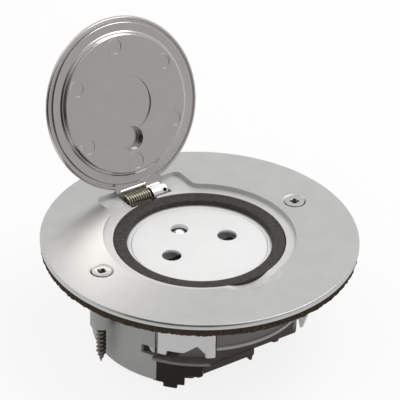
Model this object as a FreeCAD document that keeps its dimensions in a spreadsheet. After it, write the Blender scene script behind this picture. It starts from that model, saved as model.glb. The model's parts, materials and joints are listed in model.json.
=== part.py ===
"""Flush floor socket: a round metal cover plate with a hinged lid over a two-pole and earth outlet.

Frame: z = 0 is the floor (the underside of the foam gasket), +Z up, the plate's axis on Z.
The hinge is at +Y, the thumb notch at -Y and the two wood screws lie on the X axis.
The model stands with its lid open, which is the rest position of every moving piece.
"""
import FreeCAD, Part
import math
import os
import re
import Sketcher

SIZES = {
    # outlet: poles 19 mm apart, earth pin 10 mm off their line; the disc's radius drives all that is round
    "disc_rad": 19.2, "well_fit": 0.1, "well_wall": 1.2, "pole_half": 9.5, "earth_y": 10.0,
    "disc_drop": 3.3, "disc_thk": 2.2, "disc_rim": 1.6, "disc_rim_depth": 5.0, "disc_edge": 0.2,
    "pole_hole": 2.75, "earth_hole": 2.5, "earth_fit": 0.1, "earth_tip": 0.7, "travel": 6.0,
    "deck_gap": 0.5, "deck_thk": 1.5, "flange_thk": 1.5, "flange_in": 0.3, "hole_ease": 0.15,
    # cover plate, a casting with the lid's recess in it
    "plate_thk": 1.5, "plate_edge": 0.3, "rim_wid": 11.94, "ledge_wid": 2.8, "ledge_edge": 0.5,
    "ledge_depth": 1.35, "recess_edge": 0.2, "cast_wall": 1.2, "seat_thk": 1.5, "notch_rad": 9.0,
    "notch_out": 4.5, "notch_curve": 20.0, "pocket_half": 14.2, "pocket_room": 3.75,
    "pocket_corner": 2.0, "pocket_blend": 3.0,
    # foam: gasket under the plate, seal ring that the lid closes on
    "gasket_thk": 2.3, "gasket_wid": 8.3, "gasket_set": 0.2, "seal_wid": 3.7, "seal_thk": 1.6,
    "seal_drop": 1.5, "seal_gap": 0.2, "seal_edge": 0.2, "seal_bevel": 0.7,
    # hinge
    "hinge_off": 2.93, "hinge_drop": 2.3, "open_angle": 110.9, "knuckle_rad": 2.25, "knuckle_left": 2.2,
    "knuckle_len": 5.3, "pin_rad": 0.75, "pin_fit": 0.05, "pin_hold": 3.0, "slot_left": 6.8,
    "slot_right": 7.8, "hinge_gap": 0.35, "spring_wire": 0.3, "spring_coils": 10, "spring_len": 7.9,
    "spring_leg": 3.3, "spring_side": 0.3, "leg_room": 0.6,
    # lid
    "lid_gap": 2.08, "lip_depth": 1.05, "lip_width": 1.0, "lip_edge": 0.45, "groove_depth": 0.55,
    "groove_width": 0.75, "groove_draft": 0.1, "ring_depth": 1.2, "step_in": 4.22, "step_ht": 0.4,
    "step_wid": 1.0, "plug_depth": 2.7, "tongue_left": 7.9, "tongue_right": 6.8, "tongue_root": 8.0,
    "tongue_end": 2.95, "web_drop": 0.25, "dimple_rad": 8.4, "dimple_depth": 0.3, "relief_rad": 3.5,
    "relief_depth": 2.1,
    # child-safety shutter and the tray that carries it under the disc
    "shutter_over": 0.75, "shutter_half_wid": 3.3, "shutter_thk": 1.6, "shutter_play": 0.2,
    "shutter_edge": 0.3, "shutter_hook": 0.9, "shutter_wire": 0.12, "shutter_turns": 10,
    "tray_play": 1.3, "tray_front": 12.5, "tray_back": 6.2, "tray_wall": 1.2,
    # the disc's three return springs
    "coil_rad": 1.8, "coil_wire": 0.25, "coil_turns": 6, "coil_in": 3.7, "cup_rad": 2.5,
    "cup_wall": 0.8, "cup_depth": 4.5, "coil_rest": 0.05,
    # mechanism block under the well
    "block_half": 22.3, "block_gap": 0.4, "block_top_gap": 0.1, "cover_top": -23.2, "cover_gap": 0.1,
    "block_bottom": -25.7, "front_step": 2.5, "front_from": 4.0, "lug_rad": 1.3, "lug_ht": 2.0,
    "lug_left": 14.9, "lug_right": 13.0, "lug_out": 0.9, "pin_floor": 0.8, "spike_x": 2.6,
    "spike_wid": 2.0, "spike_len": 1.5, "contact_rad": 3.0, "contact_wall": 0.65, "contact_slit": 1.0,
    "contact_base": 2.0, "contact_mouth": 0.8, "contact_gap": 0.3, "chamber_gap": 0.5,
    "strap_thk": 0.8, "strap_wid": 3.0, "clamp_y": 10.0, "clamp_len": 5.0, "clamp_wid": 4.8,
    "clamp_ht": 6.4, "clamp_roof": 1.0, "clamp_wall": 1.7, "clamp_play": 0.3, "wire_hole": 1.3,
    "clamp_screw": 1.2, "clamp_head": 1.7, "clamp_head_len": 1.6, "head_out": 0.3, "earth_foot": -22.0,
    "earth_collar": 0.8, "collar_thk": 1.2, "dome_ht": 1.6,
    # fixings
    "screw_off": 2.86, "screw_rad": 1.45, "screw_head": 3.05, "screw_sink": 0.05, "screw_tip": -27.0,
    "screw_point": 4.0, "screw_clear": 2.62, "well_screw": 0.95, "well_screw_head": 1.6,
    "well_screw_len": 2.5, "well_screw_cap": 1.1, "block_screw": 1.2, "block_screw_head": 2.2,
    "block_screw_sink": 1.5, "block_screw_cap": 1.3, "block_screw_x": 8.5, "block_screw_y": 17.2,
    "thread_fit": 0.02,
    # plastic box sunk in the floor
    "skirt_gap": 0.3, "skirt_wall": 1.5, "skirt_flange_gap": 0.4, "skirt_flange_thk": 1.3,
    "skirt_low": -26.7, "skirt_high": -14.7, "skirt_from_angle": 60.0, "skirt_to_angle": 207.6,
    "boss_rad": 3.2, "boss_low": -15.7, "tooth_angle": -59.0, "tooth_half_angle": 2.5,
    "tooth_low": -18.4,
    # entry gate and cable guard at the open corner
    "gate_from_angle": -147.5, "gate_to_angle": -115.3, "gate_low": -17.6, "gate_mid_low": -16.1,
    "gate_tab_angle": 5.5, "gate_peak": -13.6, "gate_peak_angle": -125.5, "gate_side_angle": 0.3,
    "gate_gap": 0.05, "arch_left": 4.4, "arch_right": 2.6, "guard_from_angle": -149.5,
    "guard_to_angle": -118.5, "guard_out": 0.8, "guard_reach": 4.1, "guard_in": 0.4,
    "shelf_top": -18.7, "shelf_thk": 1.0, "guard_low": -27.2, "foot_low": -28.5,
    "foot_from_angle": -143.7, "foot_to_angle": -135.9, "foot_side_angle": 4.0,
    "guard_end_low": -23.9, "guard_gap": 0.1, "rib_ht": 4.2, "rib_thk": 2.4, "rib_in": 0.9,
    "rib_left": 6.0, "rib_right": 3.2, "rib_peak": 1.4,
    # how far a tool reaches past what it cuts, and how deep joined shapes run into each other
    "past": 1.0, "bite": 0.1,
}
DERIVED = {
    # radii, from the disc outwards to the plate's rim
    "well_in": "disc_rad + well_fit",
    "well_out": "well_in + well_wall",
    "bore_rad": "well_out + well_fit",
    "seal_in_rad": "well_out",
    "seal_out_rad": "seal_in_rad + seal_wid",
    "seat_rad": "seal_out_rad + seal_gap",
    "flange_out": "seat_rad - flange_in",
    "well_screw_circle": "(well_out + flange_out) / 2",
    "recess_rad": "seat_rad + ledge_wid",
    "lid_rad": "recess_rad - lid_gap",
    "step_rad": "lid_rad - step_in",
    "plug_rad": "step_rad - step_wid",
    "hinge_y": "lid_rad + hinge_off",
    "pocket_back": "hinge_y + pocket_room",
    "skirt_in": "recess_rad + cast_wall + skirt_gap",
    "skirt_rad": "skirt_in + skirt_wall",
    "screw_x": "skirt_rad + screw_off",
    "plate_rad": "screw_x + rim_wid",
    "gasket_in_rad": "plate_rad - gasket_wid",
    "skirt_flange_rad": "gasket_in_rad - skirt_flange_gap",
    "coil_circle": "disc_rad - coil_in",
    "block_round": "skirt_in - block_gap",
    "guard_rad": "skirt_rad + guard_out",
    "guard_wall_rad": "skirt_rad - guard_in",
    "guard_chord": "block_round - guard_reach",
    # heights, from the floor up to the plate's top and down to the deck
    "plate_top": "gasket_thk + plate_thk",
    "ledge_z": "plate_top - ledge_depth",
    "seat_z": "plate_top - seal_drop - seal_thk",
    "seat_low": "seat_z - seat_thk",
    "hinge_z": "plate_top - hinge_drop",
    "disc_top": "plate_top - disc_drop",
    "disc_low": "disc_top - disc_thk",
    "shutter_top": "disc_low - shutter_play",
    "shutter_low": "shutter_top - shutter_thk",
    "tray_floor": "shutter_low - shutter_play",
    "tray_low": "tray_floor - tray_wall",
    "deck_top": "tray_low - travel - deck_gap",
    "deck_low": "deck_top - deck_thk",
    "cup_floor": "deck_low - cup_depth + cup_wall",
    "block_top": "deck_low - block_top_gap",
    "flange_top": "gasket_thk - cover_gap",
    "flange_low": "flange_top - skirt_flange_thk",
    # sizes across the slider, the earth pin and the terminals
    "shutter_half_len": "pole_half + pole_hole + shutter_over",
    "tray_half": "shutter_half_len + tray_play + tray_wall",
    "earth_rad": "earth_hole - earth_fit",
    "clamp_out": "block_half - clamp_wall",
    "clamp_z": "cover_top + clamp_ht / 2",
    "wire_x": "clamp_out - clamp_len / 2",
}
COIL_ANGLES = (45, 135, 270)
BLOCK_SCREWS = (("-block_screw_x", "-block_screw_y"), ("block_screw_x", "-block_screw_y"),
                ("0", "block_screw_y"))
TERMINALS = (("line", -1, -1), ("earth", -1, 1), ("neutral", 1, -1))

doc = FreeCAD.newDocument("floor_socket")
sheet = doc.addObject("Spreadsheet::Sheet", "Dim")
for row, (alias, value) in enumerate(SIZES.items(), start=1):
    sheet.set(f"A{row}", alias)
    sheet.set(f"B{row}", str(value))
    sheet.setAlias(f"B{row}", alias)
doc.recompute()


# ---------------------------------------------------------------- formulas and document helpers
def fx(formula):
    """Turn a formula over the size names into an expression over the sheet's cells."""
    def swap(match):
        word = match.group(0)
        if word in DERIVED:
            return "(" + fx(DERIVED[word]) + ")"
        return "Dim." + word if word in SIZES else word
    return re.sub(r"[A-Za-z_]\w*", swap, str(formula))


def size(formula):
    """The present value of a formula, as a number."""
    return float(sheet.evalExpression(fx(formula)))


def bind(item, **formulas):
    """Tie properties of an object to formulas."""
    for prop, formula in formulas.items():
        item.setExpression(prop, fx(formula))
    return item


def move(item, x=0, y=0, z=0):
    """Tie an object's position to formulas."""
    for axis, formula in zip("xyz", (x, y, z)):
        item.setExpression("Placement.Base." + axis, fx(formula))
    return item


def turn(item, axis, angle):
    """Set an object's rotation: the axis as a vector, the angle as a formula in degrees."""
    item.Placement.Rotation = FreeCAD.Rotation(FreeCAD.Vector(*axis), 1)
    item.setExpression("Placement.Rotation.Angle", fx(angle))
    return item


def new(kind, name):
    return doc.addObject(kind, name)


def block(name, x0, x1, y0, y1, z0, z1):
    """A box between six formulas."""
    item = bind(new("Part::Box", name), Length=f"({x1}) - ({x0})", Width=f"({y1}) - ({y0})",
                Height=f"({z1}) - ({z0})")
    return move(item, x0, y0, z0)


def rod(name, radius, z0, z1, x=0, y=0):
    """An upright cylinder."""
    item = bind(new("Part::Cylinder", name), Radius=radius, Height=f"({z1}) - ({z0})")
    return move(item, x, y, z0)


def crossbar(name, radius, x0, x1, y, z):
    """A cylinder along X."""
    item = bind(new("Part::Cylinder", name), Radius=radius, Height=f"({x1}) - ({x0})")
    return turn(move(item, x0, y, z), (0, 1, 0), 90)


def cone(name, low_rad, high_rad, z0, z1, x=0, y=0):
    """An upright cone."""
    item = bind(new("Part::Cone", name), Radius1=low_rad, Radius2=high_rad, Height=f"({z1}) - ({z0})")
    return move(item, x, y, z0)


def fuse(name, *shapes):
    item = new("Part::MultiFuse", name)
    item.Shapes = list(shapes)
    return item


def cut(name, base, *tools):
    item = new("Part::Cut", name)
    item.Base = base
    item.Tool = tools[0] if len(tools) == 1 else fuse(name + "_tools", *tools)
    return item


def sector(name, out_rad, in_rad, angle_from, angle_to, z0, z1):
    """A stretch of ring wall between two angles about Z."""
    wall = rod(name + "_wall", out_rad, z0, z1)
    bind(wall, Angle=f"({angle_to}) - ({angle_from})")
    turn(wall, (0, 0, 1), angle_from)
    return cut(name, wall, rod(name + "_bore", in_rad, f"({z0}) - 1", f"({z1}) + 1"))


def outline_sketch(body, name, role, points, offset=0):
    """A closed outline on one of the body's own planes, every corner tied to two formulas."""
    sketch = body.newObject("Sketcher::SketchObject", name)
    plane = [f for f in body.Origin.OriginFeatures if f.Role == role][0]
    sketch.AttachmentSupport = [(plane, "")]
    sketch.MapMode = "FlatFace"
    sketch.setExpression("AttachmentOffset.Base.z", fx(offset))
    spots = [FreeCAD.Vector(size(u), size(v), 0) for u, v in points]
    count = len(spots)
    for i in range(count):
        sketch.addGeometry(Part.LineSegment(spots[i], spots[(i + 1) % count]), False)
    for i in range(count):
        sketch.addConstraint(Sketcher.Constraint("Coincident", i, 2, (i + 1) % count, 1))
    for i, formulas in enumerate(points):
        for kind, formula in zip(("DistanceX", "DistanceY"), formulas):
            index = sketch.addConstraint(Sketcher.Constraint(kind, -1, 1, i, 1, size(formula)))
            sketch.setExpression(f"Constraints[{index}]", fx(formula))
    return sketch


def turned(name, points):
    """A body turned about Z from an outline of (radius, height) formulas."""
    body = new("PartDesign::Body", name)
    sketch = outline_sketch(body, name + "_outline", "XZ_Plane", points)
    feature = body.newObject("PartDesign::Revolution", name + "_turned")
    feature.Profile = sketch
    feature.ReferenceAxis = (sketch, ["V_Axis"])
    feature.Angle = 360
    return body


def padded(name, role, points, length, offset=0, midplane=False):
    """A body padded from an outline on one of its own planes."""
    body = new("PartDesign::Body", name)
    sketch = outline_sketch(body, name + "_outline", role, points, offset)
    feature = body.newObject("PartDesign::Pad", name + "_pad")
    feature.Profile = sketch
    feature.Midplane = midplane
    feature.setExpression("Length", fx(length))
    return body


NODES = {}


def node(label, item):
    """Name a finished sub-part."""
    item.Label = label
    NODES[label] = item
    return item


def group(label, items):
    """One node that holds several separate, identical solids."""
    item = new("Part::Compound", label + "_group")
    item.Links = items
    return node(label, item)


# ---------------------------------------------------------------- cover plate and its trim
def pocket(name, half, back, corner, z0, z1):
    """The plan of the hinge pocket: a rectangle behind the recess with rounded back corners."""
    parts = [block(name + "_main", f"-({half})", half, "recess_rad / 2", f"{back} - {corner}", z0, z1),
             block(name + "_back", f"-({half}) + {corner}", f"{half} - {corner}", "recess_rad / 2", back,
                   z0, z1)]
    for side, word in ((-1, "left"), (1, "right")):
        parts.append(rod(f"{name}_{word}", corner, z0, z1, f"{side} * ({half} - {corner})",
                         f"{back} - {corner}"))
    return fuse(name, *parts)


def blend(word, side):
    """The rounded corner where the pocket's side wall runs into the round recess."""
    wall, centre = "pocket_half", "(pocket_half + pocket_blend)"
    reach = "(recess_rad + pocket_blend)"
    level = f"sqrt({reach} ^ 2 - {centre} ^ 2)"
    touch = f"(recess_rad / {reach})"
    plan = [(f"{side} * ({wall} - past)", f"{level} - pocket_blend"),
            (f"{side} * {centre} * {touch}", f"{level} * {touch}"),
            (f"{side} * {centre}", level), (f"{side} * ({wall} - past)", level)]
    corner = padded(f"blend_{word}", "XY_Plane", plan, "plate_top - ledge_z + past", "ledge_z")
    return cut(f"blend_{word}_cut", corner, rod(f"blend_{word}_round", "pocket_blend", "ledge_z - past",
                                                "plate_top + 2 * past", f"{side} * {centre}", level))


def cover_plate():
    """The casting: plate, lid recess with its ledge, seal seat, hinge pocket and thumb notch."""
    casting = turned("casting", [
        ("plate_rad", "gasket_thk"), ("plate_rad", "plate_top - plate_edge"),
        ("plate_rad - plate_edge", "plate_top"), ("recess_rad + recess_edge", "plate_top"),
        ("recess_rad", "plate_top - recess_edge"), ("recess_rad", "ledge_z + ledge_edge"),
        ("recess_rad - ledge_edge", "ledge_z"), ("seat_rad", "ledge_z"), ("seat_rad", "seat_z"),
        ("bore_rad", "seat_z"),
        ("bore_rad", "seat_low"), ("seat_rad + cast_wall", "seat_low"),
        ("seat_rad + cast_wall", "ledge_z - cast_wall"), ("recess_rad + cast_wall", "ledge_z - cast_wall"),
        ("recess_rad + cast_wall", "gasket_thk")])
    shell = cut("pocket_shell_cut",
                pocket("pocket_shell", "(pocket_half + cast_wall)", "(pocket_back + cast_wall)",
                       "(pocket_corner + cast_wall)", "ledge_z - cast_wall", "plate_top - plate_thk / 2"),
                rod("pocket_shell_bore", "recess_rad + cast_wall / 2", "ledge_z - cast_wall - past",
                    "plate_top"))
    slot_low = "hinge_z - knuckle_rad - hinge_gap"
    slot_front = "hinge_y - knuckle_rad - hinge_gap"
    bearing = block("bearing", "-slot_left - pin_hold - cast_wall", "slot_right + pin_hold + cast_wall",
                    "seat_rad + seal_gap", "pocket_back + cast_wall", f"{slot_low} - cast_wall", "ledge_z")
    blank = fuse("plate_blank", casting, shell, bearing)
    tools = [
        pocket("pocket_hollow", "pocket_half", "pocket_back", "pocket_corner", "ledge_z",
               "plate_top + past"),
        blend("left", -1), blend("right", 1),
        rod("seat_bore", "seat_rad", "seat_z", "plate_top + past"),
        rod("well_bore", "bore_rad", "seat_low - cast_wall", "plate_top + past"),
        block("hinge_slot", "-slot_left", "slot_right", slot_front,
              "hinge_y + knuckle_rad + 2 * hinge_gap", slot_low, "plate_top"),
        block("leg_groove", "knuckle_left - spring_side - spring_wire - leg_room",
              "knuckle_left - spring_side - spring_wire + leg_room", "seal_out_rad", slot_front + " + past",
              "hinge_z", "plate_top"),
        crossbar("pin_bore", "pin_rad + pin_fit / 2", "-slot_left - pin_hold", "slot_right + pin_hold",
                 "hinge_y", "hinge_z"),
    ]
    scoop = bind(new("Part::Sphere", "thumb_scoop"), Radius="notch_curve")
    move(scoop, 0, "notch_rad - recess_rad - notch_out", "plate_top + sqrt(notch_curve ^ 2 - notch_rad ^ 2)")
    above = block("scoop_limit", "-notch_curve", "notch_curve", "-notch_curve - recess_rad", 0,
                  "seat_z", "plate_top + 1")
    notch = new("Part::Common", "thumb_notch")
    notch.Base, notch.Tool = scoop, above
    tools.append(notch)
    for side, word in ((-1, "left"), (1, "right")):
        x = f"{side} * screw_x"
        sink = "(screw_head + screw_sink - screw_clear)"
        tools.append(cone(f"countersink_{word}", "screw_clear", "screw_head + screw_sink + 1",
                          f"plate_top - {sink}", "plate_top + 1", x))
        tools.append(rod(f"clearance_{word}", "screw_clear", "seat_low", "plate_top", x))
    for i in range(4):
        spot = rod(f"well_tap_{i}", "well_screw", "seat_low - past",
                        "seat_low - flange_thk + well_screw_len + bite")
        tools.append(spread(spot, "well_screw_circle", 45 + 90 * i))
    node("cover_plate", cut("cover_plate_cut", blank, *tools))


def spread(item, radius, angle):
    """Put an upright piece on a circle about Z at an angle in degrees."""
    rad = math.radians(angle)
    item.setExpression("Placement.Base.x", fx(f"({radius}) * {math.cos(rad):.9f}"))
    item.setExpression("Placement.Base.y", fx(f"({radius}) * {math.sin(rad):.9f}"))
    return item


def trim():
    """Foam gasket under the plate, foam seal in the recess, and the two wood screws."""
    node("floor_gasket", turned("gasket_ring", [
        ("gasket_in_rad", "0"), ("plate_rad - gasket_set", "0"), ("plate_rad - gasket_set", "gasket_thk"),
        ("gasket_in_rad", "gasket_thk")]))
    seal_top = "plate_top - seal_drop"
    node("lid_seal", turned("seal_ring", [
        ("seal_in_rad", "seat_z"), ("seal_out_rad", "seat_z"), ("seal_out_rad", f"{seal_top} - seal_edge"),
        ("seal_out_rad - seal_edge", seal_top), ("seal_in_rad + seal_bevel", seal_top),
        ("seal_in_rad", f"{seal_top} - seal_bevel")]))
    screws = []
    for side, word in ((-1, "left"), (1, "right")):
        body = turned(f"wood_screw_{word}", [
            ("0", "screw_tip"), ("screw_rad", "screw_tip + screw_point"),
            ("screw_rad", "plate_top - screw_sink - screw_head + screw_rad"),
            ("screw_head", "plate_top - screw_sink"), ("0", "plate_top - screw_sink")])
        screws.append(move(body, f"{side} * screw_x"))
    group("wood_screws", screws)


# ---------------------------------------------------------------- lid and hinge
def on_hinge(item):
    """Place a piece that was drawn about the hinge axis with the lid shut, and swing it open."""
    return turn(move(item, 0, "hinge_y", "hinge_z"), (1, 0, 0), "-open_angle")


def lid():
    """The lid, drawn shut about the hinge axis: rim, groove, seating ring, plug, tongue and knuckle."""
    rim = "lid_rad - lip_width"
    shell = turned("lid_shell", [
        ("0", "0"), ("lid_rad - lip_edge", "0"), ("lid_rad", "-lip_edge"),
        ("lid_rad - lip_edge", "-lip_depth"), (rim, "-lip_depth"),
        (f"{rim} - groove_draft", "-groove_depth"), (f"{rim} - groove_width", "-groove_depth"),
        (f"{rim} - groove_width - groove_draft", "-ring_depth"), ("step_rad", "-ring_depth"),
        ("step_rad - step_ht", "-ring_depth - step_ht"),
        ("plug_rad + 2 * groove_draft", "-ring_depth - step_ht"),
        ("plug_rad", "-plug_depth"), ("0", "-plug_depth")])
    move(shell, 0, "-hinge_y", "hinge_drop")
    under = "hinge_drop - lip_depth"
    tongue = block("tongue", "-tongue_left", "tongue_right", "-tongue_end - tongue_root", "-tongue_end",
                   under, "hinge_drop")
    web = block("knuckle_web", "knuckle_left", "knuckle_left + knuckle_len", "-tongue_end - tongue_root / 4",
                "0", under, "hinge_drop - web_drop")
    knuckle = crossbar("knuckle", "knuckle_rad", "knuckle_left", "knuckle_left + knuckle_len", 0, 0)
    face = "hinge_drop - plug_depth"
    tools = [
        crossbar("knuckle_bore", "pin_rad + pin_fit", "knuckle_left - 1", "knuckle_left + knuckle_len + 1",
                 0, 0),
        rod("dimple", "dimple_rad", f"{face} - past", f"{face} + dimple_depth", 0, "-hinge_y"),
        rod("pin_relief", "relief_rad", f"{face} - past", f"{face} + relief_depth", 0, "-hinge_y + earth_y"),
    ]
    node("lid", on_hinge(cut("lid_cut", fuse("lid_blank", shell, tongue, web, knuckle), *tools)))


def hinge():
    """Hinge pin, and the torsion spring beside the knuckle with one leg against the lid's tongue."""
    node("hinge_pin", crossbar("pin", "pin_rad", "-slot_left - pin_hold", "slot_right + pin_hold",
                               "hinge_y", "hinge_z"))
    wire, coil = size("spring_wire"), size("knuckle_rad - spring_wire")
    leg_z = size("hinge_drop - lip_depth - spring_side") - wire
    leg_y = -math.sqrt(coil ** 2 - leg_z ** 2)
    length, turns = size("spring_len"), size("spring_coils")
    helix = Part.makeHelix(length / turns, length, coil)
    ring = Part.Wire(Part.makeCircle(wire, FreeCAD.Vector(coil, 0, 0), FreeCAD.Vector(0, 1, 0)))
    coils = Part.Wire(helix).makePipeShell([ring], True, True)
    # the helix runs along its own Z, which becomes the hinge's X; its end is turned to meet the leg
    coils.rotate(FreeCAD.Vector(), FreeCAD.Vector(0, 0, 1), math.degrees(math.atan2(leg_y, -leg_z)))
    coils.rotate(FreeCAD.Vector(), FreeCAD.Vector(0, 1, 0), 90)
    start = size("knuckle_left - spring_side") - wire - length
    coils.translate(FreeCAD.Vector(start, 0, 0))
    tip = FreeCAD.Vector(start + length, leg_y, leg_z)
    leg = Part.makeCylinder(wire, size("spring_leg") + leg_y, tip, FreeCAD.Vector(0, -1, 0))
    spring = new("Part::Feature", "torsion_spring")
    spring.Shape = coils.fuse([leg, Part.makeSphere(wire, tip)])
    node("hinge_spring", on_hinge(spring))


# ---------------------------------------------------------------- outlet
def pole_rods(name, radius, z0, z1):
    return [rod(f"{name}_{word}", radius, z0, z1, f"{side} * pole_half")
            for side, word in ((-1, "line"), (1, "neutral"))]


def outlet_well():
    """The white well: bore for the disc, fixing flange, and a deck with spring cups and pin holes."""
    cup = turned("well_cup", [
        ("well_in", "disc_top"), ("well_out", "disc_top"), ("well_out", "seat_low"),
        ("flange_out", "seat_low"), ("flange_out", "seat_low - flange_thk"),
        ("well_out", "seat_low - flange_thk"), ("well_out", "deck_low"), ("0", "deck_low"),
        ("0", "deck_top"), ("well_in", "deck_top")])
    cups = [spread(rod(f"cup_{a}", "cup_rad + cup_wall", "deck_low - cup_depth", "deck_low + bite"),
                   "coil_circle", a) for a in COIL_ANGLES]
    tools = pole_rods("deck_pole", "pole_hole + hole_ease", "deck_low - 1", "deck_top + 1")
    tools.append(rod("deck_earth", "earth_rad + thread_fit", "deck_low - 1", "deck_top + 1", 0, "earth_y"))
    tools += [spread(rod(f"cup_bore_{a}", "cup_rad", "cup_floor", "deck_top + 1"), "coil_circle", a)
              for a in COIL_ANGLES]
    tools += [spread(rod(f"flange_hole_{i}", "well_screw + hole_ease", "seat_low - flange_thk - 1",
                         "seat_low + past"), "well_screw_circle", 45 + 90 * i) for i in range(4)]
    tools += [rod(f"deck_tap_{i}", "block_screw", "deck_low - 1", "deck_top - contact_gap + bite", x, y)
              for i, (x, y) in enumerate(BLOCK_SCREWS)]
    node("outlet_well", cut("outlet_well_cut", fuse("well_blank", cup, *cups), *tools))


def socket_disc():
    """The disc that a plug pushes down: face with three holes and a guiding rim."""
    body = turned("disc_body", [
        ("0", "disc_top"), ("disc_rad - disc_edge", "disc_top"), ("disc_rad", "disc_top - disc_edge"),
        ("disc_rad", "disc_top - disc_rim_depth"), ("disc_rad - disc_rim", "disc_top - disc_rim_depth"),
        ("disc_rad - disc_rim", "disc_low"), ("0", "disc_low")])
    tools = pole_rods("disc_pole", "pole_hole", "disc_low - 1", "disc_top + 1")
    tools.append(rod("disc_earth", "earth_hole", "disc_low - 1", "disc_top + 1", 0, "earth_y"))
    node("socket_disc", cut("socket_disc_cut", body, *tools))


def disc_springs():
    """Three compression springs that lift the disc."""
    wire, low = "coil_wire", "cup_floor + coil_wire + coil_rest"
    springs = []
    for angle in COIL_ANGLES:
        helix = bind(new("Part::Helix", f"coil_path_{angle}"), Radius="coil_rad",
                     Height=f"disc_low - {wire} - coil_rest - ({low})",
                     Pitch=f"(disc_low - {wire} - coil_rest - ({low})) / coil_turns")
        section = bind(new("Part::Circle", f"coil_section_{angle}"), Radius=wire)
        turn(move(section, "coil_rad"), (1, 0, 0), 90)
        coil = new("Part::Sweep", f"coil_{angle}")
        coil.Sections, coil.Spine, coil.Solid, coil.Frenet = [section], (helix, ["Edge1"]), True, True
        springs.append(spread(move(coil, 0, 0, low), "coil_circle", angle))
    group("disc_springs", springs)


def shutter():
    """Safety shutter under the pole holes, the tray that carries it, and its return spring."""
    outer = block("tray_outer", "-tray_half", "tray_half", "-tray_front", "tray_back", "tray_low",
                  "disc_low")
    inner = block("tray_inner", "-tray_half + tray_wall", "tray_half - tray_wall",
                  "-tray_front + tray_wall", "tray_back - tray_wall", "tray_floor", "disc_low + 1")
    holes = pole_rods("tray_pole", "pole_hole + hole_ease", "tray_low - 1", "tray_floor + 1")
    round_limit = rod("tray_round", "disc_rad - disc_rim - shutter_play", "tray_low - 1", "disc_low + 1")
    tray = new("Part::Common", "tray_shape")
    tray.Base, tray.Tool = cut("tray_cut", outer, inner, *holes), round_limit
    node("shutter_tray", tray)
    slider = padded("shutter_body", "YZ_Plane", [
        ("-shutter_half_wid", "shutter_low"), ("shutter_half_wid", "shutter_low"),
        ("shutter_half_wid", "shutter_low + shutter_edge"), ("-shutter_half_wid / 2", "shutter_top"),
        ("-shutter_half_wid", "shutter_top")], "2 * shutter_half_len", midplane=True)
    near, far = "(-shutter_half_wid + shutter_hook)", "(tray_back - tray_wall)"
    slot = block("spring_slot", "-shutter_thk / 2", "shutter_thk / 2", near, far, "tray_floor", "disc_low")
    node("safety_shutter", cut("shutter_cut", slider, slot))
    coil_rad, wire, gap = "(shutter_thk / 2 - shutter_play)", "shutter_wire", "(shutter_wire + coil_rest)"
    length = f"({far} - {near} - 2 * {gap})"
    helix = bind(new("Part::Helix", "shutter_coil_path"), Radius=coil_rad, Height=length,
                 Pitch=f"{length} / shutter_turns")
    section = bind(new("Part::Circle", "shutter_coil_section"), Radius=wire)
    turn(move(section, coil_rad), (1, 0, 0), 90)
    coil = new("Part::Sweep", "shutter_coil")
    coil.Sections, coil.Spine, coil.Solid, coil.Frenet = [section], (helix, ["Edge1"]), True, True
    turn(move(coil, 0, f"{far} - {gap}", "shutter_low + shutter_thk / 2"), (1, 0, 0), 90)
    node("shutter_spring", coil)


# ---------------------------------------------------------------- current-carrying pieces
def contacts():
    """Earth pin with its strap, and a slit tube contact with a strap for each pole."""
    tip = "disc_top - earth_tip"
    pin = turned("earth_rod", [
        ("0", "earth_foot"), ("earth_rad", "earth_foot"), ("earth_rad", "block_top - collar_thk"),
        ("earth_rad + earth_collar", "block_top - collar_thk"), ("earth_rad + earth_collar", "block_top"),
        ("earth_rad", "block_top"), ("earth_rad", f"{tip} - dome_ht"),
        ("earth_rad * 0.85", f"{tip} - dome_ht * 0.4"), ("earth_rad * 0.5", f"{tip} - dome_ht * 0.05"),
        ("0", tip)])
    node("earth_pin", move(pin, 0, "earth_y"))
    inner = "-(clamp_out - clamp_len - clamp_play)"
    node("earth_strap", block("earth_link", inner, "earth_rad", "earth_y - strap_wid / 2",
                              "earth_y + strap_wid / 2", "earth_foot - coil_rest - strap_thk",
                              "earth_foot - coil_rest"))
    for side, word in ((-1, "line"), (1, "neutral")):
        x = f"{side} * pole_half"
        low, high = "cover_top + contact_gap", "block_top - contact_gap"
        tube = rod(f"{word}_tube", "contact_rad", low, high, x)
        ends = (f"{side} * (pole_half + contact_rad - contact_wall)",
                f"{side} * (clamp_out - clamp_len - clamp_play)")
        left, right = ends if side > 0 else ends[::-1]
        arm = block(f"{word}_arm", left, right, "-strap_wid / 2", "strap_wid / 2", low,
                    f"{low} + strap_thk")
        far = (f"{side} * (clamp_out - clamp_len - clamp_play - strap_wid / 2)", ends[1])
        left, right = far if side > 0 else far[::-1]
        tail = block(f"{word}_tail", left, right, "-clamp_y - strap_wid / 2", "strap_wid / 2", low,
                     f"{low} + strap_thk")
        bore = rod(f"{word}_bore", "contact_rad - contact_wall", f"{low} - 1", f"{high} + 1", x)
        slit = block(f"{word}_slit", f"{x} - contact_slit / 2", f"{x} + contact_slit / 2",
                     "-contact_rad - 1", "contact_rad + 1", f"{low} + contact_base", f"{high} + 1")
        mouth = cone(f"{word}_mouth", "contact_rad - contact_wall", "contact_rad - contact_wall / 5",
                     f"{high} - contact_mouth", f"{high} + bite / 10", x)
        node(f"{word}_contact", cut(f"{word}_contact_cut", fuse(f"{word}_blank", tube, arm, tail), bore,
                                    slit, mouth))


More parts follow.
